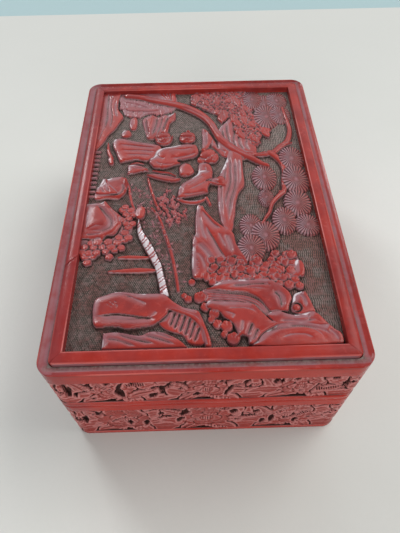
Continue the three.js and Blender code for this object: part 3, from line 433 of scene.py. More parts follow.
MIDDLE_MASSES = {
    "hanging_cloth": ([(.216, .855), (.235, .868), (.262, .878), (.285, .868), (.3, .864), (.325, .877),
                       (.35, .874), (.385, .888), (.388, .868), (.385, .85), (.36, .83), (.352, .8),
                       (.345, .775), (.32, .76), (.29, .752), (.255, .752), (.243, .762), (.232, .8),
                       (.22, .83)], 1.5, .4, 1.3, (0, 0), [
        ("groove", .9, 1.2, [(.236, .862), (.235, .82), (.25, .765)]),
        ("groove", .9, 1.4, [(.293, .868), (.285, .82), (.265, .76)]),
        ("ridge", .5, 1, [(.275, .868), (.262, .82), (.255, .77)]),
        ("groove", .8, 1, [(.318, .87), (.31, .82), (.29, .765)]),
        ("groove", .9, 1.2, [(.352, .87), (.332, .83), (.318, .78)]),
        ("ridge", .5, 1.2, [(.378, .87), (.355, .84), (.342, .8), (.332, .77)])]),
    "capsule": ([(.152, .858), (.17, .868), (.188, .858), (.19, .82), (.184, .804), (.168, .8), (.153, .815)],
                1.35, .5, 1.1, (0, 0), [
        ("groove", .3, .6, [(.17, .855), (.171, .82)])]),
    "pebble": ([(.115, .785), (.125, .8), (.148, .8), (.163, .787), (.162, .772), (.14, .762), (.12, .767)],
               1.2, .5, 1.1, (0, 0), []),
    "ribbon_tip": ([(.064, .664), (.078, .667), (.092, .648), (.093, .638), (.085, .632), (.073, .637)],
                   2, .5, .9, (0, .06), []),
    "stool": ([(.163, .59), (.163, .59), (.163, .628), (.163, .628), (.2, .628), (.24, .616), (.262, .603),
               (.22, .597), (.19, .591)], 1.9, .35, 1.2, (0, .02), [
        ("groove", .3, .8, [(.18, .62), (.21, .612), (.245, .606)])]),
    "table": ([(.253, .583), (.28, .588), (.31, .584), (.35, .577), (.39, .567), (.413, .562), (.4, .553),
               (.37, .551), (.33, .558), (.29, .568), (.262, .577)], 1.9, .4, .9, (0, 0), [
        ("fold", .35, 1.4, [(.4, .56), (.34, .57), (.28, .582)])]),
    "robe_far": ([(.078, .738), (.09, .753), (.12, .754), (.15, .747), (.2, .736), (.25, .728), (.29, .721),
                  (.315, .71), (.32, .69), (.305, .67), (.265, .65), (.25, .645), (.2, .651), (.15, .645),
                  (.125, .643), (.116, .655), (.108, .67), (.098, .69), (.084, .712)],
                 2.15, .5, 1.8, (0, .012), [
        ("fold", .4, 3.2, [(.3, .702), (.2, .714), (.13, .722), (.095, .722)]),
        ("fold", .4, 3, [(.3, .684), (.22, .694), (.15, .696), (.105, .698)]),
        ("fold", .35, 2.6, [(.28, .668), (.2, .675), (.13, .676)]),
        ("groove", .25, .9, [(.13, .745), (.2, .728), (.27, .718)]),
        ("ridge", .3, .8, [(.12, .65), (.16, .652), (.21, .657), (.25, .652)])]),
    "robe_near": ([(.283, .66), (.3, .688), (.33, .703), (.37, .708), (.42, .717), (.46, .717), (.487, .71),
                   (.498, .692), (.5, .678), (.49, .664), (.475, .656), (.45, .651), (.42, .646), (.4, .645),
                   (.4, .635), (.412, .63), (.38, .62), (.35, .611), (.33, .608), (.31, .609), (.288, .613),
                   (.272, .627), (.262, .641), (.268, .652)], 2.4, .5, 1.8, (0, .014), [
        ("fold", .5, 2.4, [(.49, .676), (.45, .663), (.4, .654), (.36, .65)]),
        ("fold", .4, 3, [(.34, .65), (.31, .66), (.3, .685)]),
        ("fold", .3, 2.2, [(.48, .7), (.43, .69), (.38, .692), (.33, .68)]),
        ("ridge", .35, .5, [(.327, .628), (.328, .618), (.326, .61)]),
        ("groove", .3, .8, [(.29, .645), (.31, .628), (.36, .622), (.4, .632)])]),
    "jar": ([(.405, .598), (.408, .618), (.43, .63), (.455, .623), (.473, .602), (.476, .59), (.46, .578),
             (.43, .573), (.41, .579)], 2.3, .9, 3, (0, .02), [
        ("ridge", .2, .5, [(.42, .578), (.445, .579), (.47, .592)])]),
    "torso": ([(.497, .57), (.495, .6), (.5, .625), (.52, .63), (.545, .622), (.56, .605), (.562, .58),
               (.55, .56), (.52, .555)], 2.2, .5, 1.6, (0, 0), [
        ("fold", .4, 2, [(.53, .56), (.535, .59), (.525, .62)])]),
    "hem_shadow": ([(.398, .48), (.415, .468), (.445, .461), (.475, .459), (.505, .466), (.527, .478),
                    (.528, .484), (.5, .478), (.47, .474), (.43, .478), (.405, .487)],
                   1.1, .3, .8, (0, 0), []),
    "foot": ([(.518, .487), (.532, .486), (.543, .468), (.549, .454), (.54, .45), (.528, .468)],
             1.5, .4, .8, (0, 0), []),
    "robe_front": ([(.4, .49), (.402, .515), (.413, .533), (.43, .546), (.455, .558), (.485, .575), (.5, .59),
                    (.53, .592), (.556, .585), (.56, .565), (.553, .548), (.545, .535), (.537, .52),
                    (.535, .502), (.515, .497), (.48, .491), (.45, .486), (.42, .482), (.405, .484)],
                   2.45, .5, 1.8, (0, .012), [
        ("fold", .45, 2.2, [(.535, .506), (.5, .502), (.45, .496), (.41, .496)]),
        ("fold", .35, 3, [(.52, .575), (.47, .545), (.425, .522)]),
        ("fold", .3, 2.6, [(.54, .55), (.49, .53), (.44, .51)]),
        ("groove", .25, .8, [(.415, .525), (.418, .508), (.412, .495)])]),
    "hands": ([(.528, .548), (.545, .556), (.57, .563), (.59, .567), (.61, .56), (.622, .545), (.624, .532),
               (.61, .527), (.585, .53), (.56, .536), (.54, .54)], 2, .5, 1.2, (0, 0), [
        ("groove", .5, .9, [(.54, .552), (.565, .546), (.585, .54), (.6, .535)])]),
    "step_rock": ([(.028, .49), (.026, .525), (.04, .545), (.055, .575), (.07, .572), (.1, .578),
                   (.135, .582), (.16, .568), (.17, .548), (.17, .53), (.165, .512), (.15, .496), (.13, .486),
                   (.08, .488)], 1.1, .3, 1.2, (0, 0), [
        ("ridge", .9, 1.2, [(.15, .572), (.167, .545), (.163, .517), (.14, .496), (.09, .493), (.03, .494)]),
        ("groove", .5, 1, [(.14, .555), (.15, .53), (.13, .508), (.08, .503)])]),
    "step_peak": ([(.03, .53), (.042, .54), (.06, .55), (.07, .57), (.08, .545), (.1, .53), (.125, .51),
                   (.1, .506), (.05, .505), (.03, .512)], 1.8, .4, 1, (0, 0), [
        ("groove", .5, .9, [(.07, .56), (.075, .53), (.095, .51)]),
        ("groove", .4, .8, [(.045, .535), (.06, .52), (.07, .508)])]),
    "left_rock": ([(-.02, .46), (.03, .47), (.06, .472), (.075, .478), (.1, .457), (.125, .437), (.15, .42),
                   (.172, .407), (.165, .39), (.15, .372), (.14, .356), (.13, .35), (.1, .348), (.088, .337),
                   (.077, .327), (.05, .333), (.02, .338), (-.02, .34)], 2.1, .45, 1.5, (.012, 0), [
        ("groove", .8, 1.5, [(.03, .462), (.06, .45), (.09, .425), (.112, .402), (.112, .38), (.08, .366),
                             (.02, .366)]),
        ("groove", .35, .9, [(.09, .455), (.12, .43), (.135, .405), (.13, .375)]),
        ("groove", .45, .7, [(.01, .352), (.05, .352), (.09, .358)]),
        ("fold", .4, 1.4, [(.155, .39), (.13, .36), (.1, .352)])]),
    "left_facet": ([(.012, .456), (.045, .458), (.068, .434), (.092, .402), (.084, .384), (.05, .384),
                    (.04, .38), (.012, .374)], 2.4, .35, 1.2, (.015, .01), []),
    "red_disc": ([(.214, .43), (.22, .448), (.237, .454), (.254, .446), (.259, .43), (.252, .411),
                  (.238, .404), (.221, .411)], 2.2, .45, 1.6, (0, 0), []),
}

# The peak and its lobes, and the rocks at the front
NEAR_MASSES = {
    "peak": ([(.5, .45), (.488, .455), (.48, .43), (.475, .4), (.474, .35), (.468, .335), (.463, .3),
              (.46, .24), (.47, .2), (.53, .225), (.6, .243), (.65, .235), (.68, .24), (.675, .256),
              (.652, .29), (.641, .31), (.636, .34), (.62, .357), (.6, .366), (.58, .377), (.56, .391),
              (.54, .41), (.52, .431), (.51, .447)], 1.95, .4, 1.5, (0, .012), [
        ("fold", .55, 3.2, [(.59, .36), (.555, .38), (.525, .41), (.495, .44)]),
        ("fold", .7, 3.2, [(.6, .255), (.57, .295), (.552, .325), (.532, .355), (.515, .385)]),
        ("groove", .5, 1.1, [(.49, .42), (.497, .38), (.51, .34), (.53, .31)]),
        ("groove", .5, 1.3, [(.6, .345), (.612, .31), (.625, .27)]),
        ("groove", .35, .8, [(.57, .35), (.585, .32), (.6, .29)])]),
    "peak_arch": ([(.463, .336), (.475, .335), (.49, .328), (.512, .312), (.532, .293), (.547, .272),
                   (.555, .25), (.55, .235), (.53, .225), (.5, .215), (.465, .28)], 2.2, .35, 1.2, (0, 0), [
        ("groove", .6, 1.3, [(.475, .315), (.5, .3), (.52, .28), (.54, .25), (.543, .236)])]),
    "peak_lobe": ([(.462, .3), (.475, .303), (.49, .292), (.507, .276), (.522, .258), (.532, .238),
                   (.53, .225), (.515, .205), (.49, .197), (.465, .2), (.457, .22), (.457, .27)],
                  2.35, .45, 1.6, (0, 0), [
        ("groove", .35, .8, [(.47, .285), (.495, .262), (.507, .235), (.507, .212)])]),
    "flutes": ([(.33, .078), (.36, .1), (.4, .11), (.45, .1), (.5, .06), (.5, .02), (.48, .014), (.44, .02),
                (.42, .04), (.38, .05), (.35, .06)], 1.35, .3, 1, (.035, .05), [
        ("groove", .95, 1, [(.392, .104), (.38, .08), (.37, .06)]),
        ("groove", .95, .9, [(.41, .1), (.396, .075), (.385, .052)]),
        ("groove", .95, .9, [(.43, .095), (.416, .065), (.402, .042)]),
        ("groove", .95, .9, [(.448, .088), (.434, .055), (.42, .03)]),
        ("groove", .9, .9, [(.466, .078), (.45, .045), (.438, .024)]),
        ("groove", .9, .8, [(.482, .062), (.466, .035), (.457, .018)])]),
    "front_left_slab": ([(.13, .008), (.13, .008), (.13, .051), (.13, .051), (.16, .053), (.19, .052),
                         (.23, .046), (.265, .043), (.3, .052), (.34, .05), (.37, .042), (.4, .031),
                         (.42, .02), (.435, .008), (.435, .008)], 1.7, .4, 1.2, (0, .04), [
        ("groove", .8, 1, [(.17, .052), (.21, .041), (.26, .03), (.33, .018)]),
        ("groove", .6, .8, [(.135, .036), (.18, .032), (.22, .022), (.26, .012)]),
        ("groove", .7, .9, [(.27, .046), (.31, .037), (.36, .025), (.4, .014)]),
        ("groove", .5, .7, [(.31, .05), (.35, .04), (.39, .028)])]),
    "front_left_rock": ([(.084, .1), (.082, .125), (.09, .145), (.12, .154), (.155, .162), (.19, .163),
                         (.25, .157), (.33, .155), (.36, .145), (.385, .13), (.42, .115), (.475, .103),
                         (.49, .085), (.503, .06), (.515, .035), (.52, .008), (.5, .008), (.493, .035),
                         (.485, .055), (.467, .073), (.44, .088), (.4, .1), (.368, .107), (.362, .098),
                         (.345, .085), (.31, .068), (.26, .062), (.215, .059), (.19, .064), (.15, .067),
                         (.105, .066), (.09, .077)], 2.6, .55, 2, (0, .012), [
        ("fold", .95, 4.2, [(.33, .085), (.27, .09), (.22, .096), (.17, .1), (.12, .097), (.075, .095)]),
        ("ridge", .35, .7, [(.33, .078), (.26, .067), (.2, .069), (.11, .072)]),
        ("groove", .3, .6, [(.28, .088), (.22, .084), (.17, .088), (.11, .085)]),
        ("fold", .4, 2.6, [(.29, .125), (.25, .138), (.215, .15), (.19, .158)]),
        ("groove", .35, .8, [(.325, .104), (.305, .092), (.28, .083)]),
        ("fold", .35, 2.6, [(.35, .1), (.38, .108), (.42, .1), (.475, .08), (.49, .05)]),
        ("groove", .3, .7, [(.15, .158), (.2, .152), (.24, .142)])]),
    "valley": ([(.497, .166), (.56, .168), (.66, .158), (.71, .142), (.74, .115), (.752, .095), (.72, .083),
                (.7, .1), (.68, .118), (.6, .122), (.52, .127), (.485, .138), (.49, .155)],
               1.2, .2, 1, (-.01, 0), [
        ("groove", .45, .6, [(.5, .158), (.58, .153), (.66, .146), (.71, .128), (.738, .1)]),
        ("groove", .45, .6, [(.5, .15), (.58, .146), (.65, .14), (.7, .124), (.73, .098)]),
        ("groove", .45, .6, [(.5, .142), (.58, .139), (.64, .134), (.695, .118), (.722, .094)]),
        ("groove", .4, .5, [(.51, .135), (.58, .132), (.64, .128), (.69, .112)])]),
    "front_right_back": ([(.508, .164), (.53, .172), (.56, .185), (.6, .191), (.68, .19), (.75, .19),
                          (.785, .176), (.81, .162), (.828, .146), (.832, .13), (.82, .115), (.81, .097),
                          (.775, .096), (.748, .097), (.735, .108), (.72, .124), (.7, .139), (.66, .153),
                          (.6, .158), (.55, .163)], 2.35, .45, 1.6, (0, .012), [
        ("groove", .75, 1, [(.6, .173), (.65, .174), (.7, .177), (.745, .174), (.765, .165)]),
        ("fold", .4, 1.8, [(.58, .167), (.66, .165), (.72, .16), (.76, .158)]),
        ("groove", .9, 1.3, [(.765, .155), (.785, .14), (.79, .12), (.787, .1)]),
        ("groove", .35, .6, [(.78, .155), (.8, .14), (.803, .12), (.8, .105)]),
        ("fold", .45, 1.8, [(.735, .112), (.71, .134), (.68, .147), (.63, .156)])]),
    "holed_rock": ([(.828, .097), (.832, .125), (.845, .145), (.862, .15), (.886, .151), (.897, .135),
                    (.907, .11), (.91, .09), (.86, .084)], 2, .4, 1.2, (0, 0), [
        ("groove", .5, .8, [(.84, .14), (.86, .145), (.878, .13), (.88, .1)])]),
    "ledge": ([(.73, .088), (.742, .094), (.76, .098), (.78, .097), (.8, .091), (.83, .086), (.86, .087),
               (.9, .093), (.917, .088), (.932, .076), (.945, .063), (.955, .054), (.92, .054), (.86, .06),
               (.8, .06), (.765, .058), (.745, .072)], 2.15, .45, 1.3, (0, .02), [
        ("groove", .45, .9, [(.765, .068), (.81, .07), (.86, .066), (.9, .07), (.93, .062)]),
        ("groove", .4, .8, [(.885, .086), (.882, .075), (.888, .066)])]),
    "front_lobe": ([(.515, .13), (.56, .128), (.6, .1265), (.66, .1225), (.683, .118), (.7, .105),
                    (.718, .09), (.74, .073), (.768, .061), (.75, .053), (.725, .045), (.7, .033),
                    (.683, .018), (.67, .01), (.655, .012), (.652, .03), (.635, .035), (.62, .032),
                    (.613, .05), (.6, .068), (.575, .082), (.553, .1), (.53, .105), (.51, .115)],
                   2.55, .5, 1.8, (0, .01), [
        ("fold", .4, 2.4, [(.58, .104), (.645, .105), (.678, .098), (.7, .085)]),
        ("groove", .9, 1, [(.675, .068), (.66, .045), (.645, .025)]),
        ("groove", .8, .9, [(.695, .052), (.68, .036), (.665, .014)]),
        ("groove", .4, .8, [(.64, .075), (.633, .055), (.628, .04)]),
        ("fold", .35, 2, [(.6, .075), (.61, .09), (.57, .1)])]),
    "hill": ([(.665, .006), (.685, .02), (.7, .034), (.72, .044), (.745, .053), (.768, .06), (.8, .0625),
              (.86, .063), (.92, .056), (.95, .056), (.967, .045), (.985, .036), (.993, .02), (.985, .006)],
             2.3, .45, 1.6, (0, .02), [
        ("fold", .55, 2, [(.715, .03), (.745, .044), (.8, .05), (.86, .05), (.9, .04), (.925, .02),
                          (.93, .008)]),
        ("groove", .4, .8, [(.79, .056), (.85, .056), (.91, .047), (.95, .03), (.965, .01)]),
        ("groove", .4, .9, [(.945, .045), (.965, .03), (.975, .01)]),
        ("fold", .3, 2, [(.895, .02), (.86, .033), (.8, .033), (.76, .02)])]),
    "red_bloom": ([(.866, .225), (.872, .245), (.885, .25), (.9, .24), (.904, .22), (.895, .2), (.88, .198),
                   (.868, .208)], 1.9, .4, 1.2, (0, 0), []),
}

# Stems of the pine, thick end first: line, widths, top
BRANCH_DOWN = ([(.845, .67), (.872, .65), (.895, .62), (.9, .585), (.888, .545), (.878, .5), (.845, .478),
                (.815, .45), (.8, .42), (.78, .4), (.762, .378)], (3, 2.6, 2.4, 2.2, 1.9, 1.6, 1.3, .9), 2.1)
STEMS = [
    ([(.74, .668), (.8, .663), (.86, .672), (.9, .698), (.935, .72), (.955, .75), (.965, .79), (.955, .86),
      (.95, .9)], (2.4, 2.6, 2.8, 2.2, 1.6, 1.2), 1.9),
    ([(.9, .7), (.93, .708), (.962, .716)], (1, 1.3, .5), 1.9),
    BRANCH_DOWN,
    ([(.86, .5), (.885, .492)], (1.2, .6), 1.9),
    ([(.82, .672), (.79, .665), (.77, .66)], (1.4, 1), 1.7),
]

TRUNK = [(.13, .985), (.2, .975), (.28, .952), (.35, .938), (.42, .92), (.48, .893), (.53, .862), (.57, .82),
         (.59, .78), (.615, .74), (.66, .7), (.71, .668), (.76, .642), (.8, .618), (.823, .61)]
TRUNK_WIDTHS = (3.8, 3.4, 3.4, 3.7, 4, 4.2, 3.9, 3.4, 3.3, 3.7, 4, 3.5, 2.8, 2)

# Wheels of needles: place, half width, half length, top. The first ones are the small far ones.
FAR_FANS = [(.86, .92, 5.4, 8.3, 1), (.93, .945, 4.9, 6.8, .9), (.8, .955, 4.4, 7.5, .95),
            (.86, .855, 5.8, 8.7, 1.15), (.935, .865, 4.9, 6.8, 1)]
FANS = [(.945, .645, 5.4, 7.5, 1.2), (.945, .55, 5.7, 8.3, 1.35), (.8, .562, 5.1, 7.5, 1.6),
        (.795, .478, 3.1, 4.8, 1.5), (.93, .452, 5.4, 7.4, 1.8), (.955, .37, 5.1, 5.3, 1.5),
        (.857, .388, 4.6, 6.9, 1.75), (.712, .372, 4.3, 6, 1.4), (.768, .335, 5.3, 7.2, 1.9),
        (.702, .293, 5.1, 6.5, 1.65)]

# Blossoms behind and before the front rocks: place, size, top
FAR_BLOSSOMS = [(.545, .232, 1.9, 1.5), (.58, .222, 1.9, 1.5), (.618, .25, 2.1, 1.6), (.65, .225, 2, 1.6),
                (.69, .218, 2.2, 1.6), (.722, .247, 2.3, 1.8), (.752, .235, 1.8, 1.6), (.8, .272, 1.7, 1.7),
                (.86, .265, 2.4, 1.9), (.846, .216, 2.2, 1.8), (.775, .215, 2, 1.5), (.79, .2, 1.5, 1.3)]
NEAR_BLOSSOMS = [(.74, .205, 1.4, 1.2), (.67, .2, 1.4, 1.2), (.455, .19, 1.5, 1), (.425, .15, 1.3, 1),
                 (.485, .143, 2.6, 1.6), (.44, .14, 1.6, 1.1), (.505, .115, 2, 1.5), (.535, .095, 2.2, 1.7),
                 (.525, .08, 1.5, 1.2), (.548, .067, 2, 1.3), (.58, .06, 2.4, 1.7), (.57, .04, 1.5, 1.2),
                 (.6, .027, 2.6, 1.7)]

# Bright hanging leaves of the pine: place, half width and half length as shares of the recess
DROPS = [(.555, .975, .012, .018), (.55, .935, .012, .016), (.61, .945, .012, .02), (.64, .865, .016, .024),
         (.625, .85, .014, .02), (.605, .885, .01, .014), (.7, .95, .013, .02), (.72, .935, .012, .02),
         (.74, .865, .013, .024), (.742, .835, .012, .018), (.69, .845, .013, .02), (.705, .825, .012, .018),
         (.68, .91, .012, .016), (.67, .945, .014, .012), (.71, .77, .012, .016), (.722, .755, .012, .014),
         (.775, .745, .014, .014), (.79, .733, .013, .012), (.84, .775, .016, .02), (.847, .76, .012, .012),
         (.78, .81, .012, .014), (.757, .9, .012, .014), (.5, .96, .014, .02), (.485, .935, .01, .014),
         (.545, .985, .01, .012)]

# Outlines of clusters of leaves, and of what lies under them
PATCHES = {
    "haze": [(.1, 1.01), (.1, .93), (.11, .9), (.125, .88), (.16, .872), (.2, .868), (.24, .885), (.28, .885),
             (.33, .885), (.37, .9), (.4, .93), (.36, 1.01)],
    "haze_leaves": [(.1, 1), (.105, .9), (.15, .88), (.21, .875), (.3, .89), (.36, .9), (.36, .93), (.2, 1)],
    "streak": [(.12, .915), (.15, .925), (.2, .918), (.26, .912), (.3, .905), (.26, .897), (.2, .9),
               (.15, .902)],
    "foliage": [(.52, 1.01), (.47, .98), (.475, .94), (.53, .91), (.58, .88), (.63, .87), (.68, .86),
                (.7, .82), (.72, .8), (.78, .82), (.79, .87), (.78, .93), (.8, 1.01)],
    "foliage_leaves": [(.53, 1), (.47, .975), (.5, .93), (.58, .885), (.67, .85), (.7, .78), (.79, .79),
                       (.79, .9), (.8, 1.01)],
    "low_foliage": [(.7, .79), (.71, .76), (.74, .745), (.79, .72), (.81, .755), (.86, .765), (.85, .79),
                    (.79, .82)],
    "low_foliage_leaves": [(.69, .81), (.7, .76), (.73, .735), (.79, .71), (.83, .75), (.87, .765), (.86, .8),
                           (.78, .84)],
    "left_cluster": [(-.01, .335), (.09, .33), (.14, .35), (.16, .385), (.16, .4), (.19, .41), (.205, .4),
                     (.205, .36), (.17, .32), (.13, .29), (.08, .295), (.05, .265), (.02, .27), (-.01, .29)],
    "left_cluster_leaves": [(-.01, .33), (.1, .335), (.14, .345), (.165, .385), (.15, .41), (.15, .46),
                            (.21, .47), (.215, .4), (.21, .345), (.17, .3), (.13, .27), (.08, .28),
                            (.06, .25), (.02, .25), (-.01, .28)],
    "shrub": [(.53, .2), (.53, .245), (.56, .262), (.6, .255), (.63, .27), (.66, .25), (.69, .235),
              (.71, .262), (.74, .25), (.77, .24), (.79, .28), (.83, .268), (.86, .29), (.885, .268),
              (.88, .21), (.87, .17), (.84, .165), (.8, .18), (.7, .19), (.6, .185)],
    "shrub_leaves": [(.5, .19), (.53, .255), (.56, .27), (.6, .262), (.63, .275), (.66, .255), (.69, .25),
                     (.71, .272), (.74, .262), (.76, .255), (.78, .29), (.83, .275), (.865, .295),
                     (.885, .27), (.88, .21), (.885, .16), (.84, .16), (.8, .17), (.7, .18), (.6, .175)],
}
PITS = [(.138, .125), (.148, .131), (.15, .119), (.158, .126), (.166, .132), (.172, .122), (.73, .177),
        (.738, .172), (.746, .177), (.753, .171), (.478, .255), (.483, .245), (.478, .235), (.484, .226)]

STREAKS = [((.13, .985), (.3, .93)), ((.12, .955), (.24, .92)), ((.2, .99), (.34, .95))]
SLOT_OUTLINE = [(-.01, 0), (-.01, 0), (.024, .001), (.026, .005), (.024, .009), (-.01, .0095), (-.01, .0095)]

# Cuts along the pine's trunk, and the lines of the bank and the rails
BARK = [("groove", .3, .7, [(.2, .972), (.3, .95), (.4, .928), (.47, .9)]),
        ("groove", .3, .7, [(.4, .918), (.48, .885), (.54, .845), (.58, .79)]),
        ("groove", .35, .8, [(.56, .84), (.6, .775), (.65, .725), (.72, .68)]),
        ("groove", .3, .6, [(.63, .72), (.7, .675), (.77, .643)]),
        ("ridge", .25, .6, [(.5, .875), (.55, .83), (.58, .78), (.62, .73), (.69, .68)])]
BANK_LINES = [
    ([(.155, .575), (.175, .54), (.185, .5), (.2, .46), (.215, .44)], (.8, 1.1, .9), 1.0),
    ([(.262, .57), (.275, .53), (.29, .495), (.306, .46), (.318, .445)], (.9, 1.1, .9), 1.1),
    ([(.283, .452), (.305, .43), (.325, .4), (.342, .36), (.36, .32), (.375, .28), (.388, .235), (.398, .19),
      (.402, .165)], (.7, 1.2, 1.3, 1.2, 1.1), 1.3),
    ([(.16, .273), (.2, .274), (.25, .272), (.285, .271)], (.8, 1.7, 1.6, .8), 1.4),
    ([(.125, .229), (.17, .229), (.25, .23), (.315, .228)], (.7, 1.8, 2.2, 1.2), 1.5),
]
BARE_TRUNK = [(.232, .4), (.236, .375), (.245, .35), (.265, .322), (.285, .295), (.305, .265), (.322, .24),
              (.332, .21), (.342, .18), (.35, .15)]
BARE_TRUNK_WIDTHS = (.6, 1.6, 2.4, 2.8, 2.9, 2.7, 2.4, 2.3, 2.5, 2.9)

# How far the near side of a mass stands over its back and left
FALL_SHARE = .3

# The ground patterns: sides of the lozenges and waves, and where they end
LOZENGE, LOZENGES_RIGHT, LOZENGES_BACK = 5.2, .36, .33
WAVE_PITCH, WAVES_LEFT = 1.44, .66
NET_DEPTH = .06


def at(points):
    """Places given as shares of the recess, in millimetres from the middle of the scene."""
    points = np.atleast_2d(np.asarray(points, float))
    return (points - .5) * (SCENE_WIDTH, SCENE_LENGTH)


def spot(across, away):
    return at([(across, away)])[0]


def cuts_at(cuts):
    return [(kind, depth, reach, at(points)) for kind, depth, reach, points in cuts]


def ground(relief):
    """The ground: lozenges cut at the lower left, shallow waves at the right, a shallow net elsewhere."""
    x, y = np.meshgrid(relief.x, relief.y)
    across, away = x / SCENE_WIDTH + .5, y / SCENE_LENGTH + .5
    low_left = smooth((LOZENGES_RIGHT - across) / .04) * smooth((LOZENGES_BACK - away) / .05)
    rise, fall = (x * .9 + y * .44) / LOZENGE, (x * .9 - y * .44) / LOZENGE
    line = np.minimum(.5 - np.abs(rise % 1 - .5), .5 - np.abs(fall % 1 - .5)) * LOZENGE
    relief.height -= .3 * low_left * np.clip(1 - line / .34, 0, 1)
    right = smooth((across - WAVES_LEFT) / .05)
    wave = np.abs((x / WAVE_PITCH + .22 * np.sin(y * .9) + .12 * np.sin(y * 2.3 + 1)) % 1 - .5) * 2
    relief.height -= NET_DEPTH * right * (1 - wave)
    relief.height += NET_DEPTH * np.sin(x * 1.9 + 1.2 * np.sin(y * .7)) * np.sin(y * 1.6 + np.sin(x * .8))


def head(relief, centre, size, top, turn, cap=.5):
    """A small head: hair, face, cap and knot, with eyes, nose and mouth, calm and of even proportions."""
    c, s = math.cos(turn), math.sin(turn)

    def place(across, up):
        return centre[0] + (across * c - up * s) * size, centre[1] + (across * s + up * c) * size

    for up, half_width, half_height, rise, crown, moat in [
            (.05, 1.02, 1.05, -.55, .5, .2), (-.12, .72, .9, -.1, .7, .2),
            (.35 + cap / 4, .95, .3 + cap / 2, .1, .6, .25), (.62 + cap, .3, .24, 0, .4, .2)]:
        relief.disc(place(0, up), (half_width * size, half_height * size), top + rise, crown, turn, moat)
    for kind, depth, reach, line in [
            ("groove", .3, .36, [(-.44, -.1), (-.28, -.06), (-.12, -.12)]),
            ("groove", .3, .36, [(.12, -.12), (.28, -.06), (.44, -.1)]),
            ("ridge", .3, .42, [(0, -.04), (0, -.28), (0, -.4)]),
            ("groove", .28, .34, [(-.2, -.62), (0, -.66), (.2, -.62)])]:
        relief.work([(kind, depth, reach, [place(*point) for point in line])])


def sprinkle(relief, outline, count, long, wide, turns, tops, crown, vein, motif):
    """Leaves strewn over an outlined patch, the lowest first."""
    line = curve(at(outline), closed=True)
    rnd = relief.random
    places = rnd.uniform(line.min(axis=0), line.max(axis=0), (6 * count, 2))
    places = places[depth_inside(line, places[:, 0], places[:, 1]) > 0][:count]
    for place in places[np.argsort(-places[:, 1])]:
        relief.leaf(place, rnd.uniform(*long), rnd.uniform(*wide), rnd.uniform(*turns), rnd.uniform(*tops),
                    crown, vein, motif)


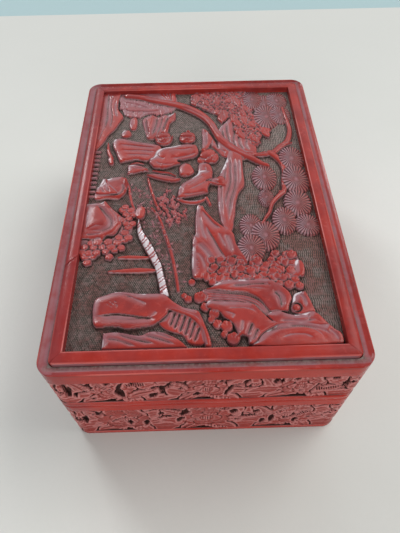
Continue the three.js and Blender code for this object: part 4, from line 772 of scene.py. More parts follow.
def landscape(grid):
    """The carved scene of the lid, from the far motifs to the near ones."""
    relief = Relief(SCENE_WIDTH, SCENE_LENGTH, grid, seed=7)
    rnd = relief.random

    def masses(table, *names):
        for name in names or table:
            outline, top, drop, reach, tilt, cuts = table[name]
            relief.mass(at(outline), top, drop, reach, tilt, cuts_at(cuts), fall=FALL_SHARE * top)

    def patch(name, top, drop=.3, reach=1.0, **options):
        relief.mass(at(PATCHES[name]), top, drop, reach, **options)

    def leaves(name, radius, top, motif=1.0, hang=1):
        relief.shingles(at(PATCHES[name]), radius, top, motif, hang)

    ground(relief)

    # haze of low leaves and streaks behind the trunk at the far left
    patch("haze", 1.0, reach=1.2, motif=.35, moat=0)
    sprinkle(relief, PATCHES["haze_leaves"], 70, (3.2, 5.6), (1.5, 2.4), (-2.0, -1.0), (1.0, 1.2),
             .2, .2, .62)
    for start, end in STREAKS:
        middle = (start[0] + end[0]) / 2, (start[1] + end[1]) / 2 + .006
        relief.stroke(at([start, middle, end]), (.5, 1.4, .5), 1.3, .3, motif=.6)
    patch("streak", 1.4, motif=.7)
    masses(FAR_MASSES)

    # small-leaved foliage over the trunk, in rows that overlap like scales, and its bright hanging tips
    patch("foliage", 1.2, reach=1.2, motif=.25)
    leaves("foliage_leaves", 1.2, 1.55, .85)
    patch("low_foliage", 1.1, motif=.25)
    leaves("low_foliage_leaves", 1.2, 1.5, .9)
    for across, away, half_x, half_y in DROPS:
        relief.leaf(spot(across, away), 2.5 * half_y * SCENE_LENGTH, 2.9 * half_x * SCENE_WIDTH,
                    -1.45 + rnd.uniform(-.3, .3), 1.75 + rnd.uniform(-.25, .25), .45, .35)
    for across, away, half_x, half_y, top in FAR_FANS:
        relief.fan(spot(across, away), (half_x, half_y), top, depth=.3, motif=.45)

    # ribs of a fan and an upright stem at the top edge, then the pine
    for step in range(5):
        foot = at([(.345 + .006 * step, .955 + .004 * step), (.3 + .022 * step, 1.01)])
        relief.stroke(foot, (.8, 1.5), 1.1, .4)
    relief.stroke(at([(.378, .94), (.375, .97), (.37, 1.02)]), (2.4, 2.2), 1.7, .6)
    for points, widths, top in STEMS:
        relief.stroke(at(points), widths, top, .55, -.12)
    for across, away, half_x, half_y, top in FANS:
        relief.fan(spot(across, away), (half_x, half_y), top)
    points, widths, top = BRANCH_DOWN
    relief.stroke(at(points[5:]), widths[4:], top, .55, -.12)
    relief.stroke(at(TRUNK), TRUNK_WIDTHS, 2.45, .7, .1)
    relief.work(cuts_at(BARK))

    # the comb of slots at the left edge, a rail seen end on; then the lines of the bank and the rails
    for step in range(11):
        foot = .495 + .0195 * step
        slot_outline = [(across, foot + rise) for across, rise in SLOT_OUTLINE]
        relief.mass(at(slot_outline), 1.1, .3, .6, motif=.25, moat=.3)
    for points, widths, top in BANK_LINES:
        relief.stroke(at(points), widths, top, .35)

    # fleck bush and leaf litter on the bank
    for _ in range(70):
        t, s = rnd.uniform(0, 1), rnd.uniform(-1, 1)
        place = spot(.325 + .085 * t + .035 * s, .5 - .1 * t + .02 * s + .02 * rnd.uniform(-1, 1))
        relief.leaf(place, rnd.uniform(1.6, 2.6), rnd.uniform(1.0, 1.5), rnd.uniform(-2.4, -.6),
                    .8 + .5 * rnd.random(), .3, .2, .78)
    for _ in range(90):
        t = rnd.uniform(0, 1)
        across = .2 + .15 * t + rnd.uniform(-.02, .08)
        away = .52 - .33 * t + rnd.uniform(-.03, .03)
        relief.leaf(spot(across, away), rnd.uniform(1.0, 1.6), rnd.uniform(.5, .9), rnd.uniform(-3, 0),
                    .3 + .25 * rnd.random(), .2, .1, .5)

    # the figures, their table and jar, with cloth, ribbon and cord beside them
    masses(MIDDLE_MASSES, "hanging_cloth", "capsule", "pebble")
    relief.stroke(at([(.055, .735), (.058, .71), (.064, .69), (.075, .672), (.082, .66)]),
                  (.7, 1.2, 1.6, 1.7), 1.7, .4)
    masses(MIDDLE_MASSES, "ribbon_tip", "stool", "table")
    relief.stroke(at([(.172, .631), (.2, .639), (.235, .635)]), (.5, 1.0, .5), 1.2, .3)
    relief.stroke(at([(.28, .605), (.32, .597), (.36, .592), (.39, .578)]), (.5, 1.2, 1.0, .5), .9, .3)
    masses(MIDDLE_MASSES, "robe_far", "robe_near")
    relief.stroke(at([(.287, .76), (.298, .738), (.31, .726), (.33, .722), (.35, .727), (.364, .742),
                      (.372, .76)]), (.7, 1.3, 1.7, 1.8, 1.7, 1.3, .7), 2.3, .4)
    head(relief, spot(.33, .75), 3.3, 2.6, .1)
    head(relief, spot(.447, .75), 3.5, 2.6, -.1)
    masses(MIDDLE_MASSES, "jar", "torso", "hem_shadow", "foot", "robe_front", "hands")
    relief.disc(spot(.598, .551), (1.7, 2.2), 2.4, .5)
    relief.disc(spot(.512, .645), (1.8, 2.2), 1.8, .6)
    head(relief, spot(.555, .655), 3.7, 2.6, .55, cap=.8)

    # rocks and leaves at the left, and the bare leaning trunk with its nicked bark
    masses(MIDDLE_MASSES, "step_rock", "step_peak", "left_rock", "left_facet")
    patch("left_cluster", 1.0, motif=.15)
    leaves("left_cluster_leaves", 1.65, 1.5, .93)
    masses(MIDDLE_MASSES, "red_disc")
    # The trunk's film and sheen of 1.9 paints a pale glint on its facets
    relief.stroke(at(BARE_TRUNK), BARE_TRUNK_WIDTHS, 2.3, 0, .47, nicks=.34, pitch=1.9, film_and_sheen=1.9)

    # the peak, the shrub behind the front rocks, and those rocks
    masses(NEAR_MASSES, "peak", "peak_arch", "peak_lobe")
    patch("shrub", 1.15, motif=.15)
    leaves("shrub_leaves", 1.65, 1.65, hang=-1)
    for across, away, size, top in FAR_BLOSSOMS:
        relief.shingle(spot(across, away), .8 * size, top + .3, hang=-1)
    masses(NEAR_MASSES, "red_bloom", "valley", "flutes", "front_left_slab")
    for across, away, size, top in NEAR_BLOSSOMS:
        relief.shingle(spot(across, away), .9 * size, top, hang=-1)
    masses(NEAR_MASSES, "front_left_rock", "front_right_back", "holed_rock")
    relief.disc(spot(.845, .106), (1.9, 2.0), .7, 0, moat=0)
    relief.disc(spot(.845, .106), (1.25, 1.3), 1.9, .4, moat=0)
    masses(NEAR_MASSES, "ledge", "front_lobe", "hill")
    for place in PITS:
        x, y = spot(*place)
        relief.work([("groove", .5, .5, [(x - .1, y - .15), (x + .1, y + .15)])])

    relief.height = np.where(relief.height > 0, .72, 1.0) * relief.height
    relief.undulate(.05, 6.0)
    relief.height = np.clip(relief.height, -.45, 2.3)
    return relief


# The bands. Places are in millimetres from the middle of a band. First how far apart the flowers are, the
# leaves round each, the lobes and the level of a leaf, and the height from which a band counts as tall.
BLOSSOM_PITCH = 31.0
WREATH_LEAVES = 8
LEAF_LOBES = 3
LEAF_TOP = 1.7
TALL_BAND = 20


def lobed_outline(foot, tip, width, sway):
    """A leaf with round lobes down both edges, its midrib bent sideways by sway; and that midrib."""
    foot, tip = np.asarray(foot, float), np.asarray(tip, float)
    along = tip - foot
    across = np.array([-along[1], along[0]]) / math.hypot(*along)
    t = np.linspace(0, 1, 8 * LEAF_LOBES + 1)
    spine = foot + np.outer(t, along) + np.outer(4 * t * (1 - t) * sway, across)
    lobes = .8 + .2 * np.abs(np.sin(LEAF_LOBES * math.pi * t))
    half = width / 2 * np.sin(math.pi * t**.8) ** .6 * lobes
    half[-1] = .02
    left = spine + across * half[:, None]
    right = spine - across * half[:, None]
    return np.concatenate([left, right[-2:0:-1]]), spine


def scroll_leaf(relief, centre, length, width, turn, sway, top, hand=1, nicked=True):
    """One broad smooth leaf: a shallow step along its midrib and, on some, fine nicks along one edge."""
    way = np.array([math.cos(turn), math.sin(turn)])
    outline, spine = lobed_outline(centre - way * length / 2, centre + way * length / 2, width, sway)
    across = np.array([-way[1], way[0]])
    last = len(spine) - 1
    cuts = [("fold", .3, width * .5, spine[3:-1:4] if hand > 0 else spine[-2:2:-4]),
            ("groove", .16, .34, spine[4:-4:4] - hand * across * .25 * width)]
    for step in range(8 if nicked else 0):
        start = spine[int((.2 + .6 * step / 8) * last)] + hand * across * width * .16
        cuts.append(("groove", .5, .3, [start, start + (hand * across + .35 * way) * width * .3]))
    relief.mass(outline, top, .4, 1.0, tuple(.09 * hand * across), cuts, per=1, moat=1.0)


def peony(relief, centre, radius, top, turn):
    """A full flower: a ring of broad petals, a smaller ring and a striped bud."""
    for reach, size, count, level in [(.66, .50, 6, top - .35), (.34, .36, 4, top - .15)]:
        for petal in range(count):
            angle = turn + (petal + .5 * (count == 4)) * 2 * math.pi / count
            out = np.array([math.cos(angle), math.sin(angle)])
            side = np.array([-out[1], out[0]])
            place = centre + reach * radius * out
            relief.disc(place, (size * radius, size * radius), level + .12 * (petal % 2), .4, angle, .3)
            relief.work([("groove", .25, .3, [place + (out * .2 + side * step) * size * radius,
                                              place + (out * .85 + side * step * 1.2) * size * radius])
                         for step in (-.35, 0, .35)])
    relief.disc(centre, (.27 * radius, .34 * radius), top + .1, .5, 0, .3)
    for step in (-.16, -.05, .06, .17):
        relief.work([("groove", .5, .24, [centre + (step * radius, rise * radius) for rise in (-.3, .3)])])


def slot(relief, points, width):
    """A narrow place cut down to the dark ground, widest at its middle."""
    line = curve(points)
    area, x, y = relief.along(line, margin=width)
    share, away, _ = beside(line, x, y)
    half = width / 2 * (.4 + .6 * np.sin(math.pi * np.clip(share, 0, 1)))
    relief.lay(area, half - away, np.full(x.shape, -.3), 0.0)


def comb(relief, start, end, count):
    """A row of short cuts across a line."""
    start, end = np.asarray(start, float), np.asarray(end, float)
    way = (end - start) / math.hypot(*(end - start))
    side = np.array([-way[1], way[0]]) * COMB_REACH / 2
    for step in range(count):
        place = start + (end - start) * (step + .5) / count
        relief.work([("groove", 1.1, .27, [place + share * side for share in (-1, -.3, .3, 1)])])


# Dark slots of the two front bands: width, then places across and up from the middle of the band
FRONT_SLOTS = {
    "lid": [
        (1.6, (-45.7, -4), (-45.4, 1), (-45.8, 6.5)),
        (1.1, (-43.6, -4.5), (-43, -1), (-40, .3), (-37, .7)), (1.6, (-39.3, -6), (-37.6, -5.4)),
        (2, (-32.8, 6.4), (-31.2, 5.6)), (1, (-27, 7), (-28.6, 3), (-29, 0)),
        (2.2, (-28.6, 2), (-28.9, -2), (-28, -5.6)),
        (1.3, (-11, 7.6), (-13, 3.5), (-14.6, .5), (-13.4, -5)),
        (1, (-16.5, 2), (-14.2, 1.5), (-11, 4.5)), (2.4, (-18.6, -6.5), (-17.6, -2.5)),
        (1.8, (-9.4, 1.5), (-7.4, .8)), (.9, (-8.5, -5.5), (-5, -2.8), (-1.5, -.4)),
        (2, (-4, -5), (-1.8, -4.6)), (1.7, (4.2, 6), (5.8, 6.2)),
        (1.2, (9.6, 4), (8.4, 2.2), (6.4, -5.5)), (1.7, (13, 3), (13.2, 7.3)),
        (1.1, (8.6, 2.4), (11, 3.6), (13, 4)), (1.8, (22.4, 4), (22.8, 7)),
        (1.6, (28.6, 5.5), (29.8, 6.8)), (1.5, (30.8, -4), (32.4, -3.6)),
        (1.1, (38.8, 3.4), (37, .4), (35.2, -4.5)), (2, (41.2, 5.6), (42, 7.2)),
        (1.4, (45.6, -3), (45.8, 6)),
    ],
    "base": [
        (2.2, (-41.3, 7), (-38, 8.6)), (1.8, (-45.6, -2), (-45.6, 5)), (1.8, (-29.2, -5.6), (-28.8, -1)),
        (1.8, (-23.2, -7.6), (-22.6, -2.4)), (1.9, (-16.8, 4.2), (-16.2, 7.6)),
        (3, (-8.6, 3), (-7.4, 8.6)), (2.2, (-10.6, -3.8), (-9, .6)), (1.8, (5, 8.6), (9, 9.6)),
        (2.4, (9.6, 3.6), (10.4, 8.6)), (1.6, (11.4, -4), (12.6, -1)), (1.8, (18.2, 3.4), (18.8, 7.6)),
        (1.7, (21.4, -8.6), (21.6, -3)), (1.5, (25, -7.6), (25, 0)), (1.8, (30, -4), (31, -1)),
        (1.4, (32.2, -2.6), (33, 1.8)), (1.9, (34.2, -8.6), (34.8, -4.2)),
        (1.7, (38.4, -3.4), (39.8, -2.6)), (.9, (33.8, 8), (36.4, 10.4), (39.4, 9)),
        (.9, (14, -1), (20, .6), (26, 3)), (.9, (-36, -3), (-32, 1.5), (-27, 2)),
        (.8, (26, 0), (32, 3.4), (39, 4.6)),
    ],
}

# Combed leaves of the same bands: the two ends of each row of cuts, and their number
FRONT_COMBS = {
    "lid": [
        ((-36, 5.4), (-31, .6), 9), ((-26, 5), (-20, 5.4), 8), ((36.5, -2.6), (45.5, -.6), 12),
    ],
    "base": [
        ((-34, -1), (-30, 3), 6), ((-43.5, -8), (-40.5, -2), 6), ((26, 2), (30, 8), 7),
        ((33.4, 0), (38, 3), 7), ((-6.6, -4), (-3.4, -1), 5),
    ],
}

# How long the cuts of a comb are, how much wider a slot is cut, how much room a strewn leaf or slot has,
# and the leaves of a wreath: their length as a share of its pitch and their width in a band of full height
COMB_REACH = 3.2
SLOT_WIDTH = 1.35
FILLER_AREA = 40
SLOT_PITCH = 4.5
WREATH_LENGTH, WREATH_WIDTH, FULL_HEIGHT = .52, 7.4, 24


def scroll_band(length, height, grid, seed, slots=(), combs=(), beyond=0.0):
    """A carved border: flowers in wreaths of broad leaves that fill the field, with dark slots between them.

    The carving goes on beyond both ends where it is to be bent round the corners.
    """
    relief = Relief(length + 2 * beyond, height, grid, seed, wall=.3)
    relief.height += .75
    relief.motif += .8
    rnd = relief.random
    flowers = max(1, round(length / BLOSSOM_PITCH))
    pitch = length / flowers
    for count in range(round(length * height / FILLER_AREA)):
        centre = np.array([rnd.uniform(-.5, .5) * (length + 2 * beyond), rnd.uniform(-.5, .5) * height])
        scroll_leaf(relief, centre, rnd.uniform(8, 12), rnd.uniform(3.8, 5.4), rnd.uniform(0, 6.3),
                    rnd.uniform(-.8, .8), LEAF_TOP - rnd.uniform(.3, .9), 1, count % 4 == 0)
    for index in range(flowers + 1):
        for hand in (-1, 1):
            centre = np.array([index * pitch - length / 2, hand * .33 * height])
            turn = (math.pi if hand > 0 else 0) + .2 + rnd.uniform(-.12, .12)
            scroll_leaf(relief, centre, .62 * pitch, .32 * height, turn, -1.2, LEAF_TOP - .35, hand, False)

    # the flowers, each in its wreath
    tall = height / FULL_HEIGHT
    long, wide = WREATH_LENGTH * pitch * (.7 + .3 * tall), WREATH_WIDTH * (.45 + .55 * tall)
    more = 1 if beyond else 0
    for index in range(-more, flowers + more):
        middle = (index + .5) * pitch - length / 2
        for step in range(WREATH_LEAVES):
            angle = (step + .5) * 2 * math.pi / WREATH_LEAVES
            hand = 1 if math.cos(angle) > 0 else -1
            centre = np.array([middle + .38 * pitch * math.cos(angle), .42 * height * math.sin(angle)])
            turn = angle + hand * (.85 if (step + index) % 2 else .35)
            scroll_leaf(relief, centre, long, wide, turn, 1.3 * hand, LEAF_TOP - .12 * (step % 3),
                        hand if step % 2 else -hand, step % 3 == 0)
        radius = (.42 if height > TALL_BAND else .36) * min(height, TALL_BAND)
        peony(relief, np.array([middle, 0.0]), radius, LEAF_TOP, .4 * index)

    # dark slots and combed leaves: strewn where no places are given, and a few in the corners
    for index in range(0 if slots else round(length / SLOT_PITCH)):
        x = (index + rnd.uniform(.2, .8)) * SLOT_PITCH - length / 2
        middle = np.array([x, rnd.choice([-1, 1]) * rnd.uniform(.18, .45) * height])
        turn = rnd.uniform(0, math.pi)
        way = np.array([math.cos(turn), math.sin(turn)]) * rnd.uniform(1.2, 2.8)
        side = np.array([-way[1], way[0]]) * rnd.uniform(-.45, .45)
        slot(relief, [middle - way, middle + side, middle + way], rnd.uniform(.9, 2.0))
        if index % 5 == 2:
            comb(relief, middle + (2.5, -1), middle + (6.5, 1), 7)
    for width, *points in slots:
        slot(relief, points, SLOT_WIDTH * width)
    for hand in (-1, 1) if beyond else ():
        for share, rise in ((.3, .25), (.75, -.3), (.55, .42)):
            foot = np.array([hand * (length / 2 + share * beyond), rise * height])
            slot(relief, [foot, foot + (.4 * hand, 1.2), foot + (.2, 2.6)], 1.7)
    for start, end, count in combs:
        comb(relief, start, end, count)
    relief.undulate(.06, 5.0)
    relief.height = np.clip(relief.height, -.35, 1.93)
    return relief


# Mesh building. Edges of carved and of drawn pieces stay sharp above these angles.
CARVED_EDGE, DRAWN_EDGE = 50, 45

# Corner posts: how far their carving bulges, and its least height
POST_LIFT, POST_LEAST = .45, .3

# How many steps a round corner has, and a straight run of a ring, a mitre and a moulding; then a fine span
CORNER_STEPS, LONG_SPANS, SHORT_SPANS = 12, 58, 40
MITRE_STEPS, MOULDING_SPANS, FINE_SPAN = 6, 60, .12

# Hand work on drawn pieces: how uneven they are, over what size, and where. Then how open the mitres are.
RING_UNEVEN, RING_WAVE, RING_OUTER = .05, 7, 2.6
MOULDING_UNEVEN, MOULDING_WAVE, MOULDING_SHOWN = .035, 9, 55
MITRE_GAP = .08


def make_mesh(name, points, faces):
    """A mesh object from points in millimetres and faces given as arrays or lists of corner numbers."""
    mesh = bpy.data.meshes.new(name)
    counts = np.concatenate([np.full(len(block), np.shape(block)[1]) if isinstance(block, np.ndarray)
                             else [len(block)] for block in faces]).astype(np.int32)
    corners = np.concatenate([np.ravel(block) for block in faces]).astype(np.int32)
    mesh.vertices.add(len(points))
    mesh.vertices.foreach_set("co", (np.asarray(points, np.float64) * MM).astype(np.float32).ravel())
    mesh.loops.add(len(corners))
    mesh.loops.foreach_set("vertex_index", corners)
    mesh.polygons.add(len(counts))
    mesh.polygons.foreach_set("loop_start", np.concatenate([[0], np.cumsum(counts)[:-1]]).astype(np.int32))
    mesh.polygons.foreach_set("loop_total", counts)
    mesh.update(calc_edges=True)
    mesh.validate()
    piece = bpy.data.objects.new(name, mesh)
    bpy.context.scene.collection.objects.link(piece)
    return piece


def turn_outward(piece):
    """Makes every face of a closed body look outward."""
    work = bmesh.new()
    work.from_mesh(piece.data)
    bmesh.ops.recalc_face_normals(work, faces=work.faces)
    work.to_mesh(piece.data)
    work.free()


def shade_smooth(piece, sharp):
    """Shades a piece smooth but for edges above an angle."""
    piece.data.polygons.foreach_set("use_smooth", np.ones(len(piece.data.polygons), bool))
    piece.data.set_sharp_from_angle(angle=math.radians(sharp))


def give_attribute(piece, name, values):
    """Stores one number for every vertex, which the materials read."""
    layer = piece.data.attributes.new(name, "FLOAT", "POINT")
    layer.data.foreach_set("value", np.asarray(values, np.float32))


def points_of(piece):
    """The vertices of a piece as an array, in millimetres."""
    flat = np.empty(3 * len(piece.data.vertices), np.float32)
    piece.data.vertices.foreach_get("co", flat)
    return flat.reshape(-1, 3) / MM


def sample(field, relief, u, v):
    """Reads a map of a relief at any places, between its grid points."""
    rows, columns = field.shape
    across = np.clip((u - relief.x[0]) / (relief.x[-1] - relief.x[0]), 0, 1) * (columns - 1)
    up = np.clip((v - relief.y[0]) / (relief.y[-1] - relief.y[0]), 0, 1) * (rows - 1)
    left = np.minimum(across.astype(int), columns - 2)
    below = np.minimum(up.astype(int), rows - 2)
    s, t = across - left, up - below
    return ((field[below, left] * (1 - s) + field[below, left + 1] * s) * (1 - t)
            + (field[below + 1, left] * (1 - s) + field[below + 1, left + 1] * s) * t)


def fields_of(relief):
    """Maps of the hollows, ridges, worked motifs, and film and painted sheen of a relief, which the materials
    read.
    """
    grid = relief.x[1] - relief.x[0]
    height = relief.height
    near = blurred(height, max(1, round(.5 / grid)))
    far = blurred(height, round(1.6 / grid))
    hollow = np.clip((near - height) * 1.5, 0, 1) * .6 + np.clip((far - height) * .6, 0, 1) * .5
    return {"hollow": hollow, "ridge": np.clip((height - near) * 3.0, 0, 1),
            "motif": np.clip(relief.motif, 0, 1), "film_and_sheen": np.clip(relief.film_and_sheen, 0, 2)}


def carved_piece(name, relief, origin, across, up, out, backing, most_faces):
    """A closed body whose front is a carved relief and whose back and four sides are flat, with its maps."""
    origin, across, up, out = (np.asarray(way, float) for way in (origin, across, up, out))
    rows, columns = relief.height.shape
    u, v = np.meshgrid(relief.x, relief.y)
    front = origin + u[..., None] * across + v[..., None] * up + relief.height[..., None] * out
    index = np.arange(rows * columns).reshape(rows, columns)
    quads = np.stack([index[:-1, :-1], index[:-1, 1:], index[1:, 1:], index[1:, :-1]], axis=-1).reshape(-1, 4)
    left, right, bottom, top = relief.x[0], relief.x[-1], relief.y[0], relief.y[-1]
    corners = [origin + a * across + b * up - backing * out
               for a, b in [(left, bottom), (right, bottom), (right, top), (left, top)]]
    base = rows * columns
    rim = [index[0], index[:, -1], index[-1, ::-1], index[::-1, 0]]
    sides = [list(edge[::-1]) + [base + n, base + (n + 1) % 4] for n, edge in enumerate(rim)]
    back = [base + 3, base + 2, base + 1, base]
    piece = make_mesh(name, np.concatenate([front.reshape(-1, 3), corners]), [quads, *sides, back])
    turn_outward(piece)
    faces = 2 * len(quads)
    if faces > most_faces:
        thin = piece.modifiers.new("thin", "DECIMATE")
        thin.ratio = most_faces / faces
        with bpy.context.temp_override(object=piece, active_object=piece, selected_objects=[piece]):
            bpy.ops.object.modifier_apply(modifier=thin.name)
    shade_smooth(piece, CARVED_EDGE)

    places = points_of(piece) - origin
    fields = fields_of(relief)
    if relief.wheel.any():
        fields["wheel_x"], fields["wheel_y"] = relief.wheel
    for key, field in fields.items():
        give_attribute(piece, key, sample(field, relief, places @ across, places @ up))
    return piece


def section(relief, low, high):
    """The part of a relief between two places across it, with its own middle as its origin."""
    grid = relief.x[1] - relief.x[0]
    part = Relief(high - low, relief.y[-1] - relief.y[0], grid)
    part.y = relief.y
    columns = part.x + (low + high) / 2
    part.height, part.motif, part.film_and_sheen = (np.array([np.interp(columns, relief.x, row) for row in field])
                                          for field in (relief.height, relief.motif, relief.film_and_sheen))
    return part


def post_piece(name, sign_x, sign_y, level, relief):
    """A corner post: an L in plan whose rounded outer side carries a relief bent round it."""
    fields = fields_of(relief)
    height = relief.height
    if sign_x * sign_y < 0:
        fields = {key: field[:, ::-1] for key, field in fields.items()}
        height = height[:, ::-1]
    centre = np.array([HALF_WIDTH - CORNER_RADIUS, HALF_LENGTH - CORNER_RADIUS])
    angles = np.linspace(0, math.pi / 2, len(relief.x))
    lift = POST_LIFT * np.sqrt(np.sin(np.linspace(0, math.pi, len(relief.x))).clip(0))
    radius = CORNER_RADIUS - CARVING_DEPTH + np.clip(height + lift, POST_LEAST, CARVING_DEPTH - .04)
    rows, columns = radius.shape
    arc = centre + radius[..., None] * np.column_stack([np.cos(angles), np.sin(angles)])
    inner_x, inner_y = HALF_WIDTH - COAT, HALF_LENGTH - COAT
    inner = np.array([(centre[0], inner_y), (inner_x, inner_y), (inner_x, centre[1])])
    plan = np.concatenate([arc, np.broadcast_to(inner, (rows, 3, 2))], axis=1) * (sign_x, sign_y)
    heights = np.broadcast_to((level + relief.y)[:, None, None], (rows, columns + 3, 1))
    index = np.arange(rows * (columns + 3)).reshape(rows, columns + 3)
    aside = np.roll(index, -1, axis=1)
    quads = np.stack([index[:-1], aside[:-1], aside[1:], index[1:]], axis=-1).reshape(-1, 4)
    points = np.concatenate([plan, heights], axis=2).reshape(-1, 3)
    piece = make_mesh(name, points, [quads, list(index[0][::-1]), list(index[-1])])
    turn_outward(piece)
    shade_smooth(piece, CARVED_EDGE)
    for key, field in fields.items():
        inward = np.repeat(field[:, -1:], 3, axis=1)
        give_attribute(piece, key, np.concatenate([field, inward], axis=1).ravel())
    return piece


def plan_points(inset):
    """The plan of the box drawn in by inset, always with as many points, and the way out at each."""
    radius = max(CORNER_RADIUS - inset, LEAST_RADIUS)
    half = np.array([HALF_WIDTH - inset - radius, HALF_LENGTH - inset - radius])
    points, outward = [], []
    arcs = [(1, -1, -90), (1, 1, 0), (-1, 1, 90), (-1, -1, 180)]

    def on_arc(arc, share):
        angle = math.radians(arc[2] + 90 * share)
        way = np.array([math.cos(angle), math.sin(angle)])
        return half * arc[:2] + radius * way, way

    for number, arc in enumerate(arcs):
        for step in range(CORNER_STEPS + 1):
            place, way = on_arc(arc, step / CORNER_STEPS)
            points.append(place)
            outward.append(way)
        start, target = points[-1], on_arc(arcs[(number + 1) % 4], 0)[0]
        spans = LONG_SPANS if number % 2 else SHORT_SPANS
        for step in range(1, spans):
            points.append(start + (target - start) * step / spans)
            outward.append(outward[-1])
    return np.array(points), np.array(outward)


def ripple(places, seed, size):
    """A smooth uneven number between -1 and 1 for every place, for hand work."""
    rng = np.random.default_rng(seed)
    total = np.zeros(len(places))
    for _ in range(5):
        way = rng.normal(size=places.shape[1])
        way /= np.linalg.norm(way)
        total += np.sin(places @ way / (size * rng.uniform(.5, 1.6)) + rng.uniform(0, 6.3))
    return total / 3


def rounded_profile(corners, radii):
    """A closed section with each corner rounded off, and a point near each end of its long runs."""
    outline = []
    for index, (corner, radius) in enumerate(zip(corners, radii)):
        corner = np.asarray(corner, float)
        back = np.asarray(corners[index - 1], float) - corner
        ahead = np.asarray(corners[(index + 1) % len(corners)], float) - corner
        if radius <= 0:
            outline.append(corner)
            continue
        reach = min(radius, .45 * np.linalg.norm(back), .45 * np.linalg.norm(ahead))
        start = corner + back / np.linalg.norm(back) * reach
        end = corner + ahead / np.linalg.norm(ahead) * reach
        for t in np.linspace(0, 1, 5):
            outline.append((1 - t)**2 * start + 2 * t * (1 - t) * corner + t**2 * end)
    finer = []
    for start, end in zip(outline, outline[1:] + outline[:1]):
        finer.append(start)
        run = np.linalg.norm(end - start)
        if run > 1:
            finer += [start + (end - start) * .3 / run, end + (start - end) * .3 / run]
    return np.array(finer)


def swept_ring(name, profile, seed):
    """A closed ring that follows the plan of the box. The profile gives inset and level all the way round."""
    rings = []
    for inset, level in profile:
        plan = plan_points(inset)[0]
        rings.append(np.column_stack([plan, np.full(len(plan), level)]))
    rings = np.array(rings)
    outward = plan_points(0)[1]
    count, around = rings.shape[:2]
    free = np.clip(RING_OUTER - profile[:, 0], 0, 1)
    for row in range(count):
        push = RING_UNEVEN * free[row] * (ripple(rings[row] + [0, 0, 3 * row], seed, RING_WAVE) - 1) * .5
        rings[row, :, :2] += outward * push[:, None]
    index = np.arange(count * around).reshape(count, around)
    ahead, aside = np.roll(index, -1, axis=0), np.roll(index, -1, axis=1)
    quads = np.stack([index, aside, np.roll(ahead, -1, axis=1), ahead], axis=-1).reshape(-1, 4)
    piece = make_mesh(name, rings.reshape(-1, 3), [quads])
    turn_outward(piece)
    shade_smooth(piece, DRAWN_EDGE)
    return piece


def mitred_run(inset, side, fine):
    """The plan line of one side of a frame, from mitre to mitre, with more points over a fine stretch."""
    radius = max(CORNER_RADIUS - inset, LEAST_RADIUS)
    half_run, reach = (HALF_WIDTH, HALF_LENGTH) if side in ("front", "back") else (HALF_LENGTH, HALF_WIDTH)
    straight, depth = half_run - inset - radius, reach - inset - radius
    angles = np.radians(np.linspace(45, 0, MITRE_STEPS + 1))
    start = np.column_stack([-straight - radius * np.sin(angles), depth + radius * np.cos(angles)])
    places = np.linspace(-straight, straight, MOULDING_SPANS + 1)[1:-1]
    if fine:
        places = np.sort(np.concatenate([places, np.arange(*fine, FINE_SPAN)]))
    middle = np.column_stack([places, np.full(len(places), depth + radius)])
    end = np.column_stack([straight + radius * np.sin(angles[::-1]), depth + radius * np.cos(angles[::-1])])
    run = np.concatenate([start, middle, end])
    along, outward = {"front": ((1, 0), (0, -1)), "back": ((-1, 0), (0, 1)),
                      "left": ((0, -1), (-1, 0)), "right": ((0, 1), (1, 0))}[side]
    return run[:, :1] * np.array(along) + run[:, 1:] * np.array(outward)


def moulding_piece(side, profile, seed, damage=None, fine=None):
    """One mitred length of the frame round the scene, closed at both ends."""
    rows = []
    for inset, level in profile:
        line = mitred_run(inset, side, fine)
        ahead = (line[-1] - line[0]) / np.linalg.norm(line[-1] - line[0])
        line[0] += ahead * MITRE_GAP
        line[-1] -= ahead * MITRE_GAP
        rows.append(np.column_stack([line, np.full(len(line), level)]))
    rows = np.array(rows)
    shown = np.clip((profile[:, 1] - MOULDING_SHOWN) / 2, 0, 1)
    for row, (inset, _), free in zip(rows, profile, shown):
        row[:, 2] += MOULDING_UNEVEN * free * (ripple(row, seed, MOULDING_WAVE) - 1)
        if damage:
            damage(row, inset, free)
    count, along = rows.shape[:2]
    index = np.arange(count * along).reshape(count, along)
    ahead = np.roll(index, -1, axis=0)
    quads = np.stack([index[:, :-1], index[:, 1:], ahead[:, 1:], ahead[:, :-1]], axis=-1).reshape(-1, 4)
    ends = [list(index[::-1, 0]), list(index[:, -1])]
    piece = make_mesh(f"lid_moulding_{side}_lacquer", rows.reshape(-1, 3), [quads, *ends])
    turn_outward(piece)
    shade_smooth(piece, DRAWN_EDGE)
    return piece


# Materials

